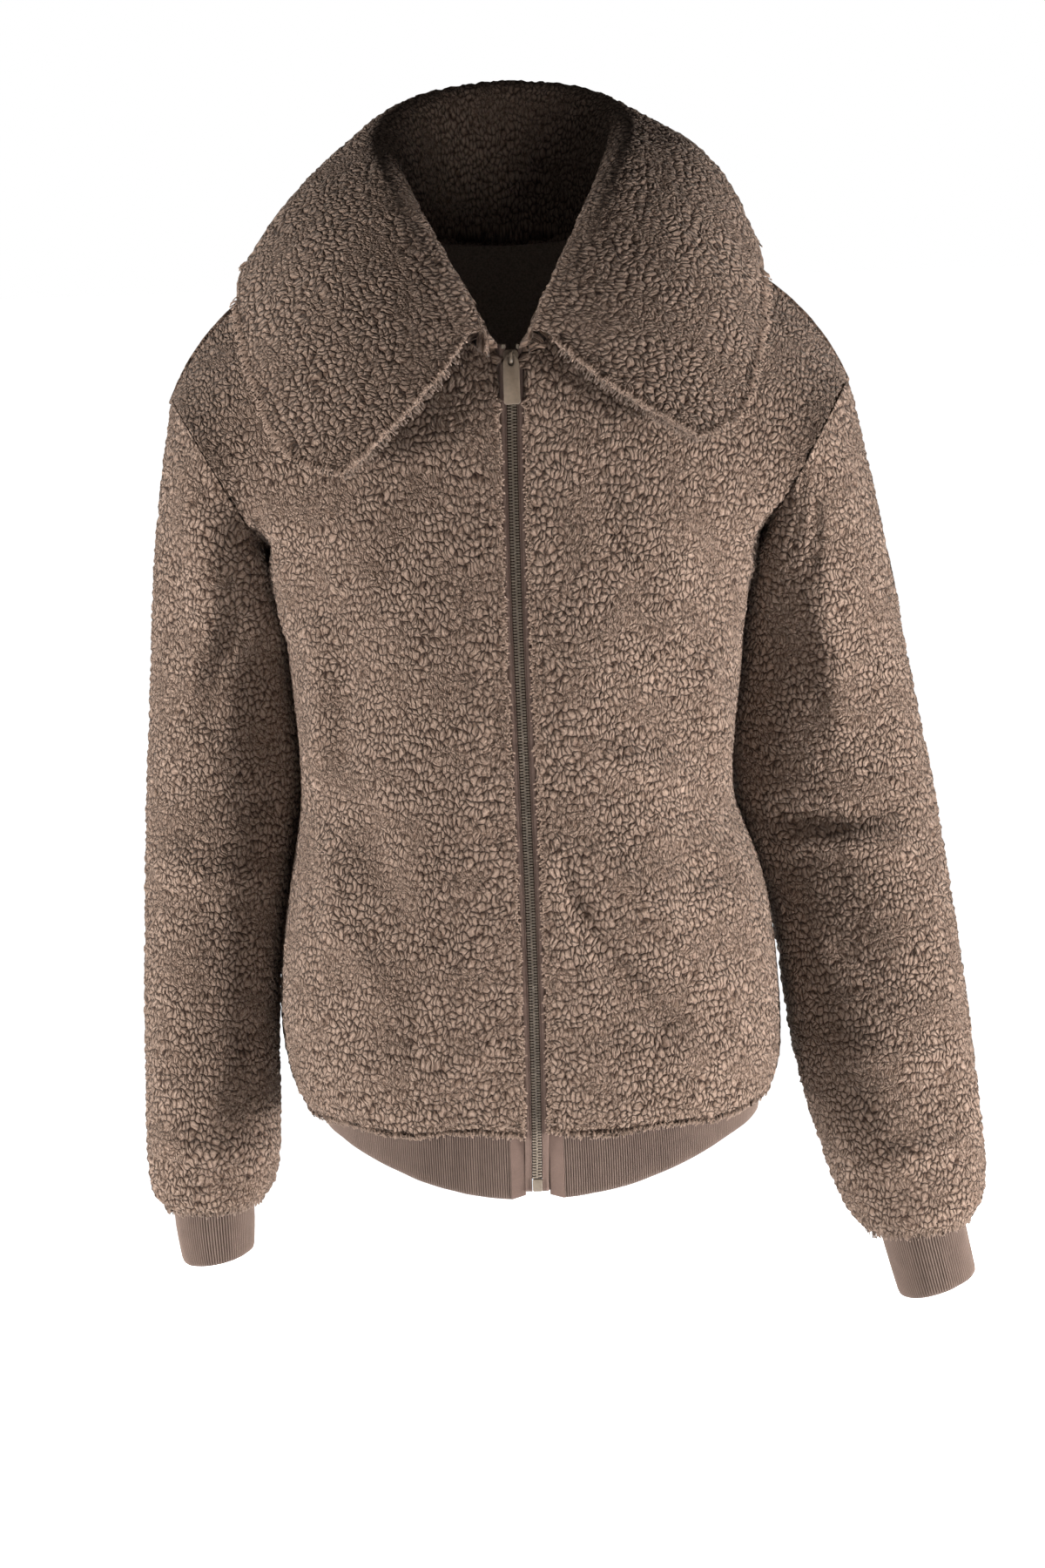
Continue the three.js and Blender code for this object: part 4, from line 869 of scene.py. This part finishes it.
def hem_turn(x):
    half = HEM[0][2] if x > 0 else HEM[0][1]
    angle = math.asin(min(1, abs(x) / half) ** (FULLNESS / 2))
    return (angle if x > 0 else 2 * math.pi - angle) / (2 * math.pi)


def cuff_places(node, turns, down):
    side, rows = CUFFS[node]
    inner_x, inner_z, outer_x, outer_z, mid, deep = between(rows, down)
    across = np.cos(2 * np.pi * turns)
    x = (inner_x + outer_x) / 2 - across * (outer_x - inner_x) / 2
    z = (inner_z + outer_z) / 2 - across * (outer_z - inner_z) / 2
    return np.stack([side * x, mid - np.sin(2 * np.pi * turns) * deep, z], axis=1)


def gathers(turns, down, marks):
    """Soft creases round a band: each has its turn, half width in turns, depth and lean."""
    total = np.zeros(len(turns))
    for turn, half, depth, lean in marks:
        off = (turns - turn - lean * down + 0.5) % 1 - 0.5
        total += depth * np.exp(-((off / half) ** 2)) * (1 - 0.45 * down)
    return total


def rib_band(node, places_at, turns, marks, closed):
    """A folded band of 1x1 rib."""
    crest = np.array(RIB_CRESTS)[np.arange(len(turns)) % len(RIB_CRESTS)]
    step = (turns[-1] - turns[0]) / len(turns) * 2
    grid, groove = [], []
    for down, inward in RIB_SECTION:
        middle = places_at(turns, down)
        along = places_at(turns + step, down) - places_at(turns - step, down)
        out = unit(np.stack([along[:, 1], -along[:, 0], np.zeros(len(turns))], axis=1))
        relief = RIB_RELIEF * (1 - min(1, inward / RIB_WALL))
        push = crest * relief - inward + gathers(turns, down, marks)
        grid.append(middle + out * push[:, None])
        groove.append(-crest * relief / RIB_RELIEF)
    rows, columns = len(grid), len(turns)
    points = np.stack(grid).reshape(-1, 3) * MM
    index = np.arange(rows * columns).reshape(rows, columns)
    spans = columns if closed else columns - 1
    here = np.arange(spans)
    there = (here + 1) % columns
    quads = []
    for r in range(rows):
        below = (r + 1) % rows
        corners = (index[r, here], index[below, here], index[below, there], index[r, there])
        quads.append(np.stack(corners, axis=1))
    made = numpy_object(node + "_knit", points, np.concatenate(quads), "rib_knit")
    store(made, "groove", np.concatenate(groove))
    closed_up(made, fill=not closed)
    return belongs(made, node)


# turn, half width, depth in millimetres (in is less than 0), lean over the band's height
HEM_GATHERS = (
    (0.030, 0.006, -1.5, 0.004), (0.052, 0.008, 0.9, 0.008), (0.085, 0.010, -1.0, -0.006),
    (0.140, 0.016, -1.2, 0.010), (0.195, 0.012, 0.7, -0.008), (0.262, 0.020, -1.4, 0.006),
    (0.330, 0.014, -0.8, -0.010), (0.392, 0.018, 0.9, 0.008), (0.455, 0.012, -1.1, 0.005),
    (0.525, 0.022, -0.9, -0.012), (0.590, 0.014, 0.8, 0.006), (0.648, 0.018, -1.3, 0.010),
    (0.712, 0.012, -0.7, -0.006), (0.768, 0.020, 0.8, 0.008), (0.830, 0.014, -1.2, -0.010),
    (0.885, 0.010, -1.0, 0.012), (0.925, 0.008, 0.9, -0.010), (0.951, 0.006, -1.4, -0.006),
    (0.968, 0.004, -0.9, -0.004),
)
CUFF_GATHERS = (
    (0.05, 0.03, -0.9, 0.03), (0.18, 0.02, 0.6, -0.02), (0.31, 0.035, -1.1, 0.02),
    (0.47, 0.025, -0.6, -0.03), (0.62, 0.03, 0.7, 0.02), (0.74, 0.02, -0.9, 0.03),
    (0.89, 0.03, -0.7, -0.02),
)


def even_turns(places_at, first, last, count):
    """Turns that part a band into equal lengths."""
    turns = np.linspace(first, last, 4000)
    line = places_at(turns, 0.5)
    far = np.concatenate([[0], np.cumsum(np.linalg.norm(np.diff(line, axis=0), axis=1))])
    return np.interp(np.linspace(0, far[-1], count + 1), far, turns)


def hem_rib():
    count = len(RIB_CRESTS) * HEM_RIBS
    turns = even_turns(hem_places, hem_turn(ZIP_X + HEM_END), hem_turn(ZIP_X - HEM_END), count)
    return rib_band("hem_rib", hem_places, turns, HEM_GATHERS, False)


def cuff(node):
    way = CUFFS[node][0]

    def places_at(turns, down):
        return cuff_places(node, turns, down)

    turns = even_turns(places_at, 0, way, len(RIB_CRESTS) * CUFF_RIBS)[:-1]
    return rib_band(node, places_at, turns, CUFF_GATHERS, True)


RIBS = {"hem_rib": hem_rib(), "cuff_right": cuff("cuff_right"), "cuff_left": cuff("cuff_left")}


# -------- facings and the pocket's welt
def soft_copy(node, name, look, levels=3):
    mesh = welded(node)
    creased(mesh, 0.75)
    as_quads(mesh)
    return belongs(subdivided(made_object(name, mesh, look), levels), node)


FACINGS = [soft_copy(f"hem_end_{side}", f"facing_{side}", "facing") for side in ("right", "left")]
# A facing's lower edge slants from the ribs' edge up towards the zip's end.
FACING_OUTER, FACING_WIDE, FACING_SLANTED = 19 * MM, 10 * MM, 14 * MM
for facing in FACINGS:
    low = min(v.co.z for v in facing.data.vertices)
    for vert in facing.data.vertices:
        inward = min(1.0, max(0.0, (FACING_OUTER - abs(vert.co.x - ZIP_X * MM)) / FACING_WIDE))
        vert.co.z += (1.3 + 3.4 * inward) * MM * max(0.0, 1 - (vert.co.z - low) / FACING_SLANTED)
WELT = soft_copy("sleeve_pocket", "pocket_welt", "pocket_welt", 2)


# -------- zip
def zip_line():
    """Height, x and front y of the closed chain, from its solid."""
    points = np.array([tuple(v.co) for v in NODES["zip_chain"].data.vertices])
    rows = {}
    for x, y, z in points:
        rows.setdefault(round(z, 4), []).append((x, y))
    heights = sorted(rows)
    middle = [np.mean([p[0] for p in rows[z]]) for z in heights]
    front = [min(p[1] for p in rows[z]) for z in heights]
    return np.array(heights), np.array(middle), np.array(front)


LINE = zip_line()
PITCH = 2.1 * MM  # from tooth to tooth on one side
# A tooth's outline, millimetres: out from the zip's line, and half its height there.
TOOTH = ((3.3, 0.40), (2.9, 0.66), (1.9, 0.70), (1.25, 0.46), (0.7, 0.62), (-0.2, 0.60), (-0.75, 0.26))
# Its layers from front to back: y behind the chain's face, and how much of the outline.
TOOTH_LAYERS = ((0.0, 0.72), (0.32, 0.97), (2.5, 1.0), (2.8, 0.8))


def chain():
    heights, middle, front = LINE
    outline = list(TOOTH) + [(x, -h) for x, h in reversed(TOOTH)]
    size = len(outline)
    centre = sum(x for x, _ in outline) / size
    points, quads, caps = [], [], []
    low, high = heights[0] + 1.0 * MM, heights[-1] - 1.0 * MM
    for side, start in ((-1, low), (1, low + PITCH / 2)):
        for z in np.arange(start, high, PITCH):
            x, y = np.interp(z, heights, middle), np.interp(z, heights, front)
            base = len(points)
            for behind, share in TOOTH_LAYERS:
                for out, up in outline:
                    away = centre + (out - centre) * share
                    points.append((x + side * away * MM, y + behind * MM, z + up * share * MM))
            for layer in range(len(TOOTH_LAYERS) - 1):
                for k in range(size):
                    a, b = base + layer * size + k, base + layer * size + (k + 1) % size
                    face = (a, a + size, b + size, b)
                    quads.append(face if side > 0 else face[::-1])
            for layer, flip in ((0, side < 0), (len(TOOTH_LAYERS) - 1, side > 0)):
                ring = base + layer * size
                for k in range(size // 2 - 1):
                    face = (ring + k, ring + k + 1, ring + size - 2 - k, ring + size - 1 - k)
                    quads.append(face[::-1] if flip else face)
    made = numpy_object("zip_teeth", np.array(points), np.array(quads), "zip_teeth")
    made.data.polygons.foreach_set("use_smooth", np.zeros(len(made.data.polygons), bool))
    return belongs(made, "zip_chain")


# Sections of a tape and the core, millimetres: across from the zip's line, and behind the tape's or the
# chain's face.
TAPE_SECTION = (
    (3.6, 0.2), (3.9, -0.25), (4.4, -0.2), (4.8, 0.12), (5.6, -0.10), (6.8, -0.12), (7.7, 0.05), (8.3, 0.35),
    (8.6, 3.2), (11.0, 3.4), (11.0, 3.9), (8.0, 3.8), (7.8, 1.1), (3.6, 1.1),
)
CORE_SECTION = (
    (-4.0, 1.2), (-2.0, 1.0), (0.0, 1.15), (2.0, 1.0), (4.0, 1.2), (4.0, 2.0), (0.0, 2.1), (-4.0, 2.0),
)
TAPE_BEHIND = 0.8 * MM  # the chain's face
TAPE_BEAD = 5.4  # how far out the tape's inner part reaches, which gives way to the slider


def rings_joined(rings, size):
    """The corners of the faces between rings of points, for each place round a ring."""
    index = np.arange(rings * size).reshape(rings, size)
    after = np.roll(index, -1, axis=1)
    return [(index[:-1, k], index[1:, k], after[1:, k], after[:-1, k]) for k in range(size)]


def tape(node, side):
    """A woven tape: crowned a little, with a bead along its inner edge, and turned back under the facing."""
    solid = NODES[node].data
    zs = [v.co.z for v in solid.vertices]
    rows = np.linspace(min(zs), max(zs), 240)
    heights, middle, front = LINE
    slider_top, slider_bottom = (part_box("zip_slider")[i][2] for i in (1, 0))
    points = []
    for z in rows:
        x, y = np.interp(z, heights, middle), np.interp(z, heights, front) + TAPE_BEHIND
        past = 1.6 * MM if slider_bottom - 0.5 * MM < z < slider_top + 0.5 * MM else 0
        for away, behind in TAPE_SECTION:
            points.append((x + side * (away * MM + (past if away < TAPE_BEAD else 0)), y + behind * MM, z))
    faces = rings_joined(len(rows), len(TAPE_SECTION))
    quads = [np.stack(face if side > 0 else face[::-1], axis=1) for face in faces]
    name = f"tape_{'left' if side > 0 else 'right'}"
    made = numpy_object(name, np.array(points), np.concatenate(quads), "zip_tape")
    closed_up(made)
    return belongs(made, node)


def core():
    """The cord and weave behind the closed teeth: a real cord, coloured far darker than the tape as painted
    shade behind the teeth.
    """
    heights, middle, front = LINE
    rows = np.linspace(heights[0], heights[-1], 160)
    points = [
        (np.interp(z, heights, middle) + away * MM, np.interp(z, heights, front) + behind * MM, z)
        for z in rows for away, behind in CORE_SECTION]
    faces = rings_joined(len(rows), len(CORE_SECTION))
    quads = [np.stack([a, d, c, b], axis=1) for a, b, c, d in faces]
    made = numpy_object("zip_core", np.array(points), np.concatenate(quads), "zip_core")
    closed_up(made)
    return belongs(made)


def hard_copy(node, name, look, width, body="jacket"):
    """A moulded or cast piece: its solid with rounded edges."""
    mesh = welded(node)
    bmesh.ops.dissolve_limit(mesh, angle_limit=0.02, verts=mesh.verts, edges=mesh.edges)
    made = made_object(name, mesh, look)
    step = made.modifiers.new("rounded", "BEVEL")
    step.width = width
    step.segments = 3
    step.limit_method = "ANGLE"
    step.angle_limit = 0.6
    step.harden_normals = True
    applied(made)
    return belongs(made, node, body)


chain()
CORE = core()
TAPES = [tape("zip_tape_right", -1), tape("zip_tape_left", 1)]
hard_copy("zip_stop_right", "stop_right", "zip_teeth", 0.5 * MM)
hard_copy("zip_stop_left", "stop_left", "zip_teeth", 0.5 * MM)
hard_copy("zip_box", "box", "zip_teeth", 0.5 * MM)
hard_copy("zip_slider", "slider", "zip_metal", 0.35 * MM)
hard_copy("zip_pull", "pull_tab", "zip_metal", 0.32 * MM, "pull")


# -------- stage, light and camera
FLOOR_Z = -1.45
# name, place, what it points at, width, watts
LAMPS = (
    ("left", (-2.5, -0.9, -0.7), (0, 0, -0.55), 0.7, 146),
    ("right", (2.5, -0.9, -0.95), (0, 0, -0.65), 0.7, 186),
    ("front", (0.3, -2.2, -1.42), (0, 0, -0.85), 0.9, 34),
    ("behind", (-0.6, 2.6, -0.3), (0, 0, -0.4), 1.4, 95),
)


def floor():
    """A pale floor that a camera sees as white, and that lights the jacket only a little."""
    data = bpy.data.meshes.new("floor")
    side = 60
    corners = [(-side, -side, 0), (side, -side, 0), (side, side, 0), (-side, side, 0)]
    data.from_pydata(corners, [], [(0, 1, 2, 3)])
    made = linked("floor", data)
    made.location.z = FLOOR_Z
    pale = bpy.data.materials.new("floor")
    pale.use_nodes = True
    shader = pale.node_tree.nodes["Principled BSDF"]
    set_inputs(shader, {
        "Base Color": (0.80, 0.80, 0.80, 1), "Roughness": 1.0, "Specular IOR Level": 0.0,
        "Emission Color": (1, 1, 1, 1)})
    net = Net(pale.node_tree)
    seen = net.node("ShaderNodeLightPath").outputs["Is Camera Ray"]
    net.put(shader.inputs["Emission Strength"], net.math("MULTIPLY_ADD", seen, 0.95, 0.05))
    data.materials.append(pale)


def area_light(name, place, target, size, power):
    data = bpy.data.lights.new(name, "AREA")
    data.shape = "DISK"
    data.size = size
    data.energy = power
    made = linked(name, data)
    made.location = place
    made.rotation_euler = (Vector(target) - Vector(place)).to_track_quat("-Z", "Y").to_euler()


def studio():
    """A room that a camera sees as white, with a dim light that is stronger from low down, and lamps."""
    world = bpy.data.worlds.new("studio")
    bpy.context.scene.world = world
    world.use_nodes = True
    net = Net(world.node_tree)
    back = world.node_tree.nodes["Background"]
    back.inputs["Color"].default_value = (1, 1, 1, 1)
    seen = net.node("ShaderNodeLightPath").outputs["Is Camera Ray"]
    way = net.node("ShaderNodeTexCoord").outputs["Generated"]
    up = net.node("ShaderNodeSeparateXYZ", Vector=way).outputs[2]
    room = net.span(up, -0.1, 0.5, 0.32, 0.05)
    net.put(back.inputs["Strength"], net.math("MAXIMUM", seen, room))
    for lamp in LAMPS:
        area_light(*lamp)
    floor()


def camera():
    distance, rise, roll, middle = 2.745, math.radians(9), math.radians(-1.88), -0.388
    data = bpy.data.cameras.new("camera")
    data.sensor_fit = "VERTICAL"
    data.sensor_height = 36
    data.lens = 85.8
    made = linked("camera", data)
    made.location = (0, -distance * math.cos(rise), middle + distance * math.sin(rise))
    look = (Vector((0, 0, middle)) - made.location).to_track_quat("-Z", "Y")
    made.rotation_euler = (look @ Quaternion((0, 0, 1), roll)).to_euler()
    bpy.context.scene.camera = made


studio()
camera()
bpy.context.scene.view_settings.view_transform = "Standard"
